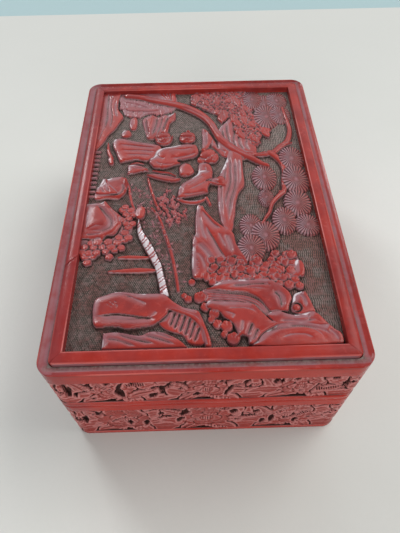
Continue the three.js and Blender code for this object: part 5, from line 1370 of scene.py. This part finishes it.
class Paint:
    """A material made of nodes, with short names for the ones used here."""

    def __init__(self, name):
        self.material = bpy.data.materials.new(name)
        self.material.use_nodes = True
        self.tree = self.material.node_tree
        self.tree.nodes.clear()
        output = self.node("ShaderNodeOutputMaterial")
        self.shader = self.node("ShaderNodeBsdfPrincipled")
        self.tree.links.new(self.shader.outputs["BSDF"], output.inputs["Surface"])

    def node(self, kind, **settings):
        node = self.tree.nodes.new(kind)
        for key, value in settings.items():
            setattr(node, key, value)
        return node

    def put(self, socket, value):
        if isinstance(value, bpy.types.NodeSocket):
            self.tree.links.new(value, socket)
        elif isinstance(value, (tuple, list)) and len(value) == 3 and socket.type == "RGBA":
            socket.default_value = (*value, 1.0)
        else:
            socket.default_value = value

    def feed(self, node, first, *values):
        """Fills the inputs of a node from a numbered one on."""
        for number, value in enumerate(values, first):
            self.put(node.inputs[number], value)
        return node

    def set(self, **values):
        for key, value in values.items():
            self.put(self.shader.inputs[key.replace("_", " ")], value)

    def place(self, stretch):
        mapping = self.node("ShaderNodeMapping")
        mapping.inputs["Scale"].default_value = stretch
        self.put(mapping.inputs["Vector"], self.node("ShaderNodeTexCoord").outputs["Object"])
        return mapping.outputs["Vector"]

    def noise(self, size, detail=3, roughness=.55, stretch=(1, 1, 1), distortion=0):
        """Cloudy noise between 0 and 1; size is the width of one cloud in millimetres."""
        node = self.node("ShaderNodeTexNoise")
        for key, value in (("Scale", 1000 / size), ("Detail", detail), ("Roughness", roughness),
                           ("Distortion", distortion), ("Vector", self.place(stretch))):
            self.put(node.inputs[key], value)
        return node.outputs["Fac"]

    def math(self, operation, first, second=0.0, clamp=False):
        node = self.node("ShaderNodeMath", operation=operation, use_clamp=clamp)
        return self.feed(node, 0, first, second).outputs[0]

    def span(self, value, low, high, to_low=0.0, to_high=1.0):
        """Maps low..high on to to_low..to_high, smoothly and held at the ends."""
        node = self.node("ShaderNodeMapRange", interpolation_type="SMOOTHSTEP")
        return self.feed(node, 0, value, low, high, to_low, to_high).outputs[0]

    def mix(self, share, first, second):
        """Mixes two colours; a share of 1 gives the second."""
        node = self.feed(self.node("ShaderNodeMix", data_type="RGBA"), 0, share)
        return self.feed(node, 6, first, second).outputs[2]

    def between(self, share, first, second):
        """Mixes two numbers."""
        node = self.feed(self.node("ShaderNodeMix", data_type="FLOAT"), 0, share)
        return self.feed(node, 2, first, second).outputs[0]

    def read(self, name):
        """A number that every vertex carries."""
        return self.node("ShaderNodeAttribute", attribute_name=name).outputs["Fac"]

    def position(self):
        """The place on the box, in metres, as x, y and z."""
        split = self.node("ShaderNodeSeparateXYZ")
        return self.feed(split, 0, self.node("ShaderNodeTexCoord").outputs["Object"]).outputs

    def bump(self, height, distance, below=None):
        """Bump whose full height is distance millimetres."""
        node = self.node("ShaderNodeBump")
        node.inputs["Strength"].default_value = 1.0
        node.inputs["Distance"].default_value = distance * MM
        self.put(node.inputs["Height"], height)
        if below is not None:
            self.put(node.inputs["Normal"], below)
        return node.outputs["Normal"]


# Reds of the lacquer, from the deepest to the brightest. Wine red is painted shade on the left side, warm red
# painted light on the faces below the shoulder's top, bright red also a painted highlight on carved ridges,
# and highlight red a painted highlight on the arrises
WINE_RED = (.17, .016, .020)
DEEP_RED = (.215, .012, .008)
RED = (.325, .020, .010)
WARM_RED = (.44, .020, .010)
BRIGHT_RED = (.41, .034, .018)
HIGHLIGHT_RED = (.62, .17, .15)

# The mauve film on it, partly painted sheen, a painted glint where that is thickest, a painted highlight for
# the ridges of the scrolls, the dust in its hollows, a painted sheen on the ground towards the back, and soot
# that is also painted shade
FILM_AND_SHEEN, SCROLL_FILM = (.260, .108, .122), (.285, .056, .050)
GLINT = (.60, .53, .56)
SCROLL_EDGE = (.52, .19, .18)
DUST, FAR_GROUND_SHEEN = (.225, .190, .170), (.37, .32, .29)
SOOT_AND_SHADE, SCROLL_SOOT_AND_SHADE = (.028, .014, .010), (.022, .009, .008)
NET_RED, NET_DARK = (.200, .062, .046), (.036, .027, .022)
NEEDLE_LIT, NEEDLE_RED, NEEDLE_DARK = (.31, .175, .20), (.27, .085, .080), (.045, .014, .016)

BLACK, WORN_BLACK, SCRATCHED = (.012, .010, .009), (.030, .024, .019), (.075, .062, .052)
WOOD, PALE_WOOD, BROWN_WOOD = (.33, .19, .095), (.50, .33, .18), (.26, .145, .07)

# Places in metres where a colour changes
RIM_TOP = .0568, .0572
LEFT_SIDE = -.036, -.050
BACK = -.01, .045
WAVES_FROM = .013, .018


def stripes(paint, along, pitch, wobble=None):
    """Fine parallel lines, from 0 in the cut to 1 on the ridge, a pitch in millimetres apart."""
    turns = paint.math("MULTIPLY", along, 2 * math.pi / (pitch * MM))
    if wobble is not None:
        turns = paint.math("ADD", turns, wobble)
    return paint.span(paint.math("SINE", turns), -.7, .8)


def diaper(paint):
    """The fine ground patterns: a net at the left, crossed lines in lozenges below it, waves at the right."""
    x, y, _ = paint.position()
    slow = paint.math("MULTIPLY", paint.noise(7, 2), 5)
    slant = paint.math("MULTIPLY", y, .55)
    rising, falling = paint.math("ADD", x, slant), paint.math("SUBTRACT", x, slant)
    net = paint.math("MINIMUM", stripes(paint, rising, .80, slow), stripes(paint, falling, .80, slow))
    fine = paint.math("MINIMUM", stripes(paint, rising, .74), stripes(paint, falling, .74))
    swing = paint.math("MULTIPLY", paint.math("SINE", paint.math("MULTIPLY", y, 1500)), 1.3)
    upright = stripes(paint, x, .72, paint.math("ADD", slow, swing))
    waves = paint.between(.4, upright, paint.math("MINIMUM", upright, stripes(paint, y, 1.3, slow)))
    lower = paint.math("MULTIPLY", paint.span(y, -.022, -.028), paint.span(x, -.010, -.014))
    return paint.between(paint.span(x, *WAVES_FROM), paint.between(lower, net, fine), waves)


def needle_wheels(paint, blotches):
    """Wheels of needles: where they are, how high each needle stands, and their colour."""
    x, y = paint.read("wheel_x"), paint.read("wheel_y")
    turn = paint.math("MULTIPLY", paint.math("ARCTAN2", y, x), NEEDLES)
    needles = paint.span(paint.math("COSINE", turn), -.75, .35)
    square = paint.math("ADD", paint.math("MULTIPLY", x, x), paint.math("MULTIPLY", y, y))
    shown = paint.span(paint.math("SQRT", square), .05, .22)
    # Painted light and shade: each wheel is lit towards its left, and dark between the needles, dirt and
    # painted shade in the fine cuts
    lit = paint.mix(paint.span(x, -.5, .4), NEEDLE_LIT, NEEDLE_RED)
    colour = paint.mix(needles, NEEDLE_DARK, lit)
    return shown, needles, paint.mix(paint.span(blotches, .4, .7, 0, .5), colour, DEEP_RED)


def red_lacquer(name, carved=False, cut_colour=DUST, film_and_sheen_colour=FILM_AND_SHEEN, edge_colour=None, veil=0.0,
                hatched=False, sheen=.3):
    """Cinnabar lacquer: mottled red, with painted highlights on its ridges; filmed in its hollows, the film
    partly painted sheen and glint; then dusty, with painted shade in the deepest hollows.
    """
    paint = Paint(name)
    clouds = paint.noise(16, 3)
    blotches = paint.noise(2.6, 4, .6)
    specks = paint.noise(.35, 2, .7)
    grime = paint.noise(1.1, 4, .7)
    patchiness = paint.noise(6, 3, .6)
    hollow, ridge = paint.read("hollow"), paint.read("ridge")
    colour = paint.mix(paint.span(clouds, .35, .65), DEEP_RED, RED)
    colour = paint.mix(paint.span(blotches, .45, .7, 0, .3), colour, BRIGHT_RED)
    if carved:
        # Painted highlight: the carved ridges turn a brighter red
        colour = paint.mix(paint.span(ridge, .05, .6, 0, .35 - .25 * veil), colour, BRIGHT_RED)
        plain = paint.math("SUBTRACT", 1, paint.read("motif"), clamp=True)
        ground_share = paint.span(plain, .75, 1)
        laid = paint.read("film_and_sheen")
        # The film is partly painted sheen, laid by the relief on slopes facing the back left and in folds
        film_and_sheen = paint.math("MAXIMUM", paint.span(hollow, .01, .14, .04, 1), paint.math("MULTIPLY", laid, 1.1))
        film_and_sheen = paint.math("ADD", film_and_sheen, paint.math("MULTIPLY", plain, 1.6), clamp=True)
        film_and_sheen = paint.span(film_and_sheen, 0, 1, veil, 1)
        dirt_and_shade = paint.span(hollow, .14 - .16 * veil, .44 - .38 * veil, 0, .95)
        dirt_and_shade = paint.math("ADD", dirt_and_shade, ground_share, clamp=True)
        film_and_sheen = paint.math("MULTIPLY", film_and_sheen, paint.span(patchiness, .3, .65, .75, 1.1), clamp=True)
        colour = paint.mix(film_and_sheen, colour, film_and_sheen_colour)
        # Painted glint: pale where the film and sheen are thickest, broken in patches
        glint_share = paint.math("ADD", laid, paint.span(patchiness, .35, .65, -.4, .4))
        colour = paint.mix(paint.span(glint_share, 1.2, 1.55), colour, GLINT)
    else:
        x, _, z = paint.position()
        # Painted light: below the shoulder's top the faces turn a warmer, brighter red
        colour = paint.mix(paint.span(z, *RIM_TOP, .45, 0), colour, WARM_RED)
        # Painted shade: the lacquer turns wine red towards the left side, away from the key light
        colour = paint.mix(paint.span(x, *LEFT_SIDE, 0, .6), colour, WINE_RED)
        # Painted highlight along the arrises
        colour = paint.mix(paint.math("MULTIPLY", ridge, .6), colour, HIGHLIGHT_RED)
        film_and_sheen = paint.span(hollow, 0, .5, .02, 1)
        dirt_and_shade = paint.span(hollow, .5, 1)
        film_and_sheen = paint.math("MULTIPLY", film_and_sheen, paint.span(patchiness, .3, .65, .5, 1.1), clamp=True)
        colour = paint.mix(film_and_sheen, colour, film_and_sheen_colour)
    if edge_colour:
        colour = paint.mix(paint.span(blotches, .5, .7, 0, .12), colour, edge_colour)
        # Painted highlight: the ridges take the edge colour
        colour = paint.mix(paint.span(ridge, .05, .3, 0, .85), colour, edge_colour)

    dirt_and_shade = paint.math("MULTIPLY", dirt_and_shade, paint.span(grime, .25, .6, .65, 1), clamp=True)
    shape = paint.bump(paint.noise(.5, 3, .6), .015)
    if hatched:
        lines = diaper(paint)
        dust = paint.mix(paint.span(paint.noise(5, 2), .4, .6, .1, .75), cut_colour, NET_RED)
        # Painted sheen: the ground pales towards the back
        dust = paint.mix(paint.span(paint.position()[1], *BACK, 0, .75), dust, FAR_GROUND_SHEEN)
        dust = paint.mix(paint.span(lines, .85, .25, 0, paint.span(grime, .3, .6, .5, 1)), dust, NET_DARK)
        # Painted shade: the deepest hollows turn soot dark
        dust = paint.mix(paint.span(hollow, .22, .48, 0, .85), dust, SOOT_AND_SHADE)
        shape = paint.bump(paint.math("MULTIPLY", lines, ground_share), .22, shape)
    else:
        # Dust and soot mixed in patches in the hollows; on the scrolls the cut colour is near black, soot and
        # painted shade between the leaves
        dust = paint.mix(paint.span(grime, .35, .62, .2, 1), SOOT_AND_SHADE, cut_colour)
        # Painted shade: the ledges under the bands turn soot dark
        dust = paint.mix(paint.span(hollow, 1.1, 1.5), dust, SOOT_AND_SHADE)
    colour = paint.mix(dirt_and_shade, colour, dust)
    if hatched:
        shown, needles, wheel = needle_wheels(paint, blotches)
        colour = paint.mix(paint.math("MULTIPLY", shown, .92), colour, wheel)
        shape = paint.bump(paint.math("MULTIPLY", needles, shown), .12, shape)
        film_and_sheen = paint.math("MAXIMUM", film_and_sheen, paint.math("MULTIPLY", shown, .8))
    colour = paint.mix(paint.span(specks, .64, .76, 0, .4), colour, SOOT_AND_SHADE)

    rough = paint.between(film_and_sheen, paint.span(blotches, .3, .7, .16, .27), .36)
    rough = paint.between(paint.span(ridge, .1, .5), rough, .18)
    rough = paint.between(dirt_and_shade, rough, .8)
    paint.set(Base_Color=colour, Roughness=rough, Normal=paint.bump(paint.noise(5, 2, .5), .05, shape))
    paint.shader.inputs["Specular IOR Level"].default_value = sheen
    return paint.material


def black_lacquer():
    paint = Paint("black_lacquer_worn")
    clouds = paint.noise(22, 4)
    scratches = paint.noise(.6, 3, .7, stretch=(1, .06, 1))
    colour = paint.mix(paint.span(clouds, .35, .7), BLACK, WORN_BLACK)
    colour = paint.mix(paint.span(scratches, .62, .72, 0, .5), colour, SCRATCHED)
    rough = paint.span(clouds, .3, .7, .24, .42)
    paint.set(Base_Color=colour, Roughness=rough, Normal=paint.bump(paint.noise(6, 3), .06))
    return paint.material


def bare_wood(name, along):
    """Dry softwood with its grain along x or y, lacquered black inside the box and under the lid."""
    paint = Paint(name)
    stretch = [1.0, 1.0, 1.0]
    stretch[along] = .04
    grain = paint.noise(1.6, 5, .65, stretch, distortion=.6)
    broad = paint.noise(9, 3, .5, stretch)
    pores = paint.noise(.4, 3, .7, stretch)
    colour = paint.mix(paint.span(grain, .3, .7), WOOD, PALE_WOOD)
    colour = paint.mix(paint.span(broad, .35, .7, 0, .6), colour, BROWN_WOOD)
    x, y, z = paint.position()
    within_x, within_y = (paint.math("LESS_THAN", paint.math("ABSOLUTE", way), (half - LID_WALL_INSET) * MM)
                          for way, half in ((x, HALF_WIDTH), (y, HALF_LENGTH)))
    from_seat = paint.math("ABSOLUTE", paint.math("SUBTRACT", z, SEAT_LEVEL * MM))
    seat = paint.math("LESS_THAN", from_seat, .3 * MM)
    inside = paint.math("MAXIMUM", seat, paint.math("MULTIPLY", within_x, within_y))
    colour = paint.mix(inside, colour, paint.mix(paint.span(broad, .35, .7), BLACK, WORN_BLACK))
    rough = paint.between(inside, paint.span(grain, .3, .7, .72, .88), .34)
    paint.set(Base_Color=colour, Roughness=rough, Normal=paint.bump(pores, .05))
    return paint.material


# The pieces

def finish_piece(piece, body, material, slot, *nodes):
    """Gives a piece its material, the body it rides on, and the nodes it stands in for; its slot is not used.
    """
    piece.data.materials.append(material)
    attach(piece, body)
    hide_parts(*nodes)


plain_red = red_lacquer("cinnabar_plain", sheen=.14)
scene_red = red_lacquer("cinnabar_scene", carved=True, hatched=True, veil=.16)
scroll_red = red_lacquer("cinnabar_scroll", carved=True, cut_colour=SCROLL_SOOT_AND_SHADE, film_and_sheen_colour=SCROLL_FILM,
                         edge_colour=SCROLL_EDGE, veil=.6, sheen=.15)
black = black_lacquer()
wood_x, wood_y = (bare_wood(f"softwood_{axis}", number) for number, axis in enumerate("xy"))

# Spacing of the points of a carving, how thick a piece is behind it, and the most faces it may have
SCENE_GRID, FRONT_GRID, SIDE_GRID = (.25, .2, .28) if FINE else (.45, .5, .5)
SCENE_BACKING, BAND_BACKING = 2.5, 1.0
SCENE_FACES, BAND_FACES = 195000, 190000

scene_panel = carved_piece("lid_scene_relief", landscape(SCENE_GRID), (0, 0, SCENE_LEVEL),
                           (1, 0, 0), (0, 1, 0), (0, 0, 1), SCENE_BACKING, SCENE_FACES)
finish_piece(scene_panel, "lid", scene_red, "carved_lacquer", "lid_scene_panel")

# Each side: the way it faces, the way it runs, its length between the posts, and how far out its ground lies
SHORT_RUN, LONG_RUN = 2 * (HALF_WIDTH - CORNER_RADIUS), 2 * (HALF_LENGTH - CORNER_RADIUS)
GROUND_X, GROUND_Y = HALF_WIDTH - CARVING_DEPTH, HALF_LENGTH - CARVING_DEPTH
SIDES = {"front": ((0, -1), (1, 0), SHORT_RUN, GROUND_Y), "back": ((0, 1), (-1, 0), SHORT_RUN, GROUND_Y),
         "left": ((-1, 0), (0, -1), LONG_RUN, GROUND_X), "right": ((1, 0), (0, 1), LONG_RUN, GROUND_X)}

# Each corner: the quarter of the plan it is in, and the end of the band that goes on round it
CORNERS = {"back_right": (1, 1, "back", "first"), "back_left": (-1, 1, "back", "last"),
           "front_left": (-1, -1, "front", "first"), "front_right": (1, -1, "front", "last")}
CORNER_RUN = CORNER_RADIUS * math.pi / 2

BANDS = {"base": (FOOT_TOP, BASE_BAND_TOP), "lid": (LID_BAND_BOTTOM, LID_BAND_TOP)}
seed = 11
for body, (low, high) in BANDS.items():
    ends = {}
    for side, (facing, along, length, reach) in SIDES.items():
        seed += 1
        if side == "front":
            grid, slots, combs = FRONT_GRID, FRONT_SLOTS[body], FRONT_COMBS[body]
        else:
            grid, slots, combs = SIDE_GRID, (), ()
        round_corners = side in ("front", "back")
        relief = scroll_band(length, high - low, grid, seed, slots, combs, CORNER_RUN if round_corners else 0)
        if round_corners:
            left, right = -length / 2, length / 2
            ends[side, "first"] = section(relief, left - CORNER_RUN, left)
            ends[side, "last"] = section(relief, right, right + CORNER_RUN)
            relief = section(relief, left, right)
        origin = (facing[0] * reach, facing[1] * reach, (low + high) / 2)
        panel = carved_piece(f"{body}_scroll_{side}", relief, origin, (*along, 0), (0, 0, 1), (*facing, 0),
                             BAND_BACKING, BAND_FACES)
        finish_piece(panel, body, scroll_red, "carved_lacquer", f"{body}_carved_panel_{side}")
    for corner, (sign_x, sign_y, side, end) in CORNERS.items():
        seed += 1
        post = post_piece(f"{body}_corner_{corner}", sign_x, sign_y, (low + high) / 2, ends[side, end])
        finish_piece(post, body, scroll_red, "carved_lacquer", f"{body}_corner_post_{corner}")


def block(low, high, depth=COAT):
    """The corners of an oblong section, from its outer lower one round."""
    return [(0, low), (depth, low), (depth, high), (0, high)]


# Each ring: its body, its node, inset and level of each corner of its section, and how far that is rounded
RINGS = {
    "base_foot_ring": ("base", "base_foot_rim", block(0, FOOT_TOP, 6), (.5, .3, .1, .3)),
    "base_upper_ring": ("base", "base_upper_rim", block(BASE_BAND_TOP, BASE_TOP), (.7, 0, .1, .8)),
    "lid_lower_ring": ("lid", "lid_lower_rim", block(LID_BOTTOM, LID_BAND_BOTTOM), (.5, .1, 0, .6)),
    "lid_shoulder_ring": ("lid", "lid_shoulder_rim",
                          [(0, LID_BAND_TOP), (COAT, LID_BAND_TOP), (COAT, 54), (3.3, 54), (3.3, 57.5),
                           (2.4, 57.5), (1.9, 57.53), (1.5, 57.62), (.8, 57.9), (.35, 58.2), (.2, 58.3),
                           (0, 58.22)], (.7, 0, 0, 0, 0, .1, .1, .2, .3, .05, .05, .06)),
}

# Where the top of the shoulder begins, and the thickest dust on its several parts
SHOULDER_TOP = 57.2
END_DUST, SIDE_DUST, LEFT_DUST, FOOT_DUST, EDGE_DUST = .7, .45, .35, .9, .15
# How dark the ledges under the bands are painted, as shade
LEDGE_SHADE = 1.6


def arris_highlight(places, seed):
    """How strong the painted highlight on an arris is along its length, between 0 and 1."""
    return np.clip(.55 + .9 * ripple(places, seed, RING_WAVE), 0, 1)


def plan_inset(places):
    """How far in from the outer faces each place lies."""
    return np.minimum(HALF_WIDTH - np.abs(places[:, 0]), HALF_LENGTH - np.abs(places[:, 1]))


def shoulder_dust(places, inset):
    """Dust on top of the shoulder, thicker inwards, at both ends, at the left and along the frame."""
    inner = np.where(np.abs(places[:, 1]) > HALF_LENGTH - 4, END_DUST, SIDE_DUST)
    inner = inner * np.clip((inset - 1.4) / .6, 0, 1)
    left = LEFT_DUST * np.clip((inset - .35) / .4, 0, 1) * (places[:, 0] < -HALF_WIDTH + 5)
    dust = np.maximum.reduce([inner, left, FOOT_DUST * (inset > 3.1), EDGE_DUST * (inset > .35)])
    return dust * (places[:, 2] > SHOULDER_TOP)


def near_level(places, levels, reach):
    """Whether each place is within reach of one of some levels."""
    return np.abs(places[:, 2:] - levels).min(axis=1) < reach


for name, (body, node, corners, radii) in RINGS.items():
    seed += 1
    ring = swept_ring(name, rounded_profile(corners, radii), seed)
    places = points_of(ring)
    inset = plan_inset(places)
    # Dust on the shoulder, and painted shade on the ledges under the bands
    ledge = (inset > .5) * near_level(places, (FOOT_TOP, LID_BAND_BOTTOM), .2)
    give_attribute(ring, "hollow", np.maximum(shoulder_dust(places, inset), LEDGE_SHADE * ledge))
    rims = np.array([level for drawn_in, level in corners if drawn_in == 0])
    # A painted highlight along the arrises of the rims, broken along their length
    edges = (inset < .4) * near_level(places, rims, .3)
    give_attribute(ring, "ridge", edges * arris_highlight(places, seed))
    finish_piece(ring, body, plain_red, "plain_lacquer", node)

# The section of the frame round the scene, from its outer groove to the panel
FRAME_OUTER, FRAME_INNER, FRAME_LOW = 3.5, 7.7, 54
MOULDING = rounded_profile([(FRAME_OUTER, FRAME_LOW), (FRAME_INNER, FRAME_LOW), (FRAME_INNER, 59.2),
                            (7.2, 59.42), (5.8, 59.5), (4.6, 59.3), (3.75, 58.95), (FRAME_OUTER, 58.7)],
                           (0, 0, .2, .4, .7, .5, .12, .12))
MOULDING_DUST, GROOVE_DIRT = .12, .55

# The crack: where it leaves the inner edge, its slant, depth and width; then its pushed-up lip
CRACK_START, CRACK_SLANT = -31.3, 2.15 / 2.0
CRACK_DEPTH, CRACK_WIDTH = .5, .16
LIP_HEIGHT, LIP_PLACE, LIP_WIDTH = .07, .5, .4
CRACK_SPAN = (29, 39)


def old_crack(row, inset, shown):
    """An open crack that runs slantwise over the left moulding, with one lip pushed up."""
    line = CRACK_START - CRACK_SLANT * (FRAME_INNER - inset)
    away = row[:, 1] - line - .12 * np.sin(inset * 5)
    row[:, 2] -= shown * CRACK_DEPTH * np.exp(-(away / CRACK_WIDTH) ** 2)
    row[:, 2] += shown * LIP_HEIGHT * np.exp(-((away - LIP_PLACE) / LIP_WIDTH) ** 2)


for side in SIDES:
    seed += 1
    split = {"damage": old_crack, "fine": CRACK_SPAN} if side == "left" else {}
    moulding = moulding_piece(side, MOULDING, seed, **split)
    places = points_of(moulding)
    inset = plan_inset(places)
    groove = (inset < 3.65) * (places[:, 2] < 58.9) * GROOVE_DIRT
    give_attribute(moulding, "hollow", np.maximum(groove, MOULDING_DUST))
    # A painted highlight along the arrises of the moulding, broken along its length
    edges = np.maximum((inset < 4.0) * (places[:, 2] > 58.8), (inset > 7.2) * (places[:, 2] > 59.1))
    give_attribute(moulding, "ridge", edges * arris_highlight(places, seed))
    finish_piece(moulding, "lid", plain_red, "plain_lacquer", f"lid_moulding_{side}")

for name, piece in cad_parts.items():
    if piece.name.startswith(("base_lip", "base_floor_lining", "base_underside", "lid_ceiling")):
        material = black
    else:
        material = wood_x if name.endswith(("front", "back")) else wood_y
    piece.data.materials.clear()
    piece.data.materials.append(material)


# Stage, camera and lights. The near floor ends where the edge of the table is seen in the photograph.
FAR_EDGE, STAGE_REACH, STAGE_BACK = 271, 1500, 2500


def stage_material(name, colour, mottle):
    """A dull mottled surface with painted shade that darkens it a little towards the back, where the lamps
    light it more.
    """
    paint = Paint(name)
    clouds = paint.noise(150, 4, .6)
    fine = paint.noise(2.2, 3, .7)
    tone = paint.mix(paint.span(clouds, .3, .7), colour, mottle)
    tone = paint.mix(paint.span(fine, .4, .7, 0, .25), tone, mottle)
    darker = [.82 * part for part in mottle]
    tone = paint.mix(paint.span(paint.position()[1], -.05, .27, 0, .75), tone, darker)
    paint.set(Base_Color=tone, Roughness=paint.span(fine, .3, .7, .75, .9), Normal=paint.bump(fine, .03))
    paint.shader.inputs["Specular IOR Level"].default_value = .2
    return paint.material


def plane(name, low, high, level, material):
    """A flat rectangle of the stage."""
    corners = [(low[0], low[1]), (high[0], low[1]), (high[0], high[1]), (low[0], high[1])]
    piece = make_mesh(name, [(x, y, level) for x, y in corners], [[0, 1, 2, 3]])
    piece.data.materials.append(material)
    piece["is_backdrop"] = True


plane("floor", (-STAGE_REACH, -STAGE_REACH), (STAGE_REACH, FAR_EDGE), 0,
      stage_material("table_top", (.66, .665, .64), (.62, .63, .60)))
plane("far_floor", (-STAGE_REACH, FAR_EDGE), (STAGE_REACH, STAGE_BACK), -.5,
      stage_material("far_top", (.38, .52, .55), (.41, .55, .57)))

# The camera as fitted to the edges of the box: its focal length and the height of the photograph in pixels,
# where it stands in millimetres, and the ways to its right, above it and ahead of it
FOCAL_LENGTH, PHOTO_HEIGHT, SENSOR = 459.909, 533, 36
STAND = (-2.34106, -131.18412, 188.92241)
RIGHTWARD = (.99960169, -.02674817, -.00899998)
UPWARD = (.02694806, .80993206, .58590431)
FORWARD = (.00838249, .58591347, -.81033027)

camera_data = bpy.data.cameras.new("camera")
camera_data.sensor_width = SENSOR
camera_data.lens = SENSOR * FOCAL_LENGTH / PHOTO_HEIGHT
camera_data.clip_start, camera_data.clip_end = .01, 50
camera = bpy.data.objects.new("camera", camera_data)
bpy.context.scene.collection.objects.link(camera)
camera.matrix_world = Matrix([[RIGHTWARD[n], UPWARD[n], -FORWARD[n], STAND[n] * MM] for n in range(3)]
                             + [[0, 0, 0, 1]])
bpy.context.scene.camera = camera


def softbox(name, way, away, size, power, colour):
    """A rectangular lamp that looks at the box from a direction, away metres off."""
    lamp = bpy.data.lights.new(name, "AREA")
    lamp.shape = "RECTANGLE"
    lamp.size, lamp.size_y = size
    lamp.energy = power
    lamp.color = colour
    holder = bpy.data.objects.new(name, lamp)
    bpy.context.scene.collection.objects.link(holder)
    way = np.array(way, float) / np.linalg.norm(way)
    side = np.cross((0, 0, 1), way)
    side /= np.linalg.norm(side)
    top = np.cross(way, side)
    holder.matrix_world = Matrix([[side[n], top[n], way[n], way[n] * away] for n in range(3)]
                                 + [[0, 0, 0, 1]])
    holder.visible_camera = False


softbox("window", (.05, .81, .59), 2.6, (3.6, 1.55), 23, (.93, .97, 1.0))
softbox("side_pane", (-.46, .67, .59), 2.4, (.6, .5), 18, (.96, .98, 1.0))
softbox("key", (.62, .22, .80), 3.2, (2.4, 2.0), 64, (1.0, .98, .95))
softbox("fill", (-.1, -.9, .45), 3.0, (2.67, 1.33), 45, (1.0, .98, .96))

SKY_COLOUR, SKY_STRENGTH = (.95, .97, 1.0, 1), .26
world = bpy.data.worlds.new("studio")
world.use_nodes = True
world.node_tree.nodes["Background"].inputs["Color"].default_value = SKY_COLOUR
world.node_tree.nodes["Background"].inputs["Strength"].default_value = SKY_STRENGTH
bpy.context.scene.world = world
bpy.context.scene.view_settings.view_transform = "Standard"

low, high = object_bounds()
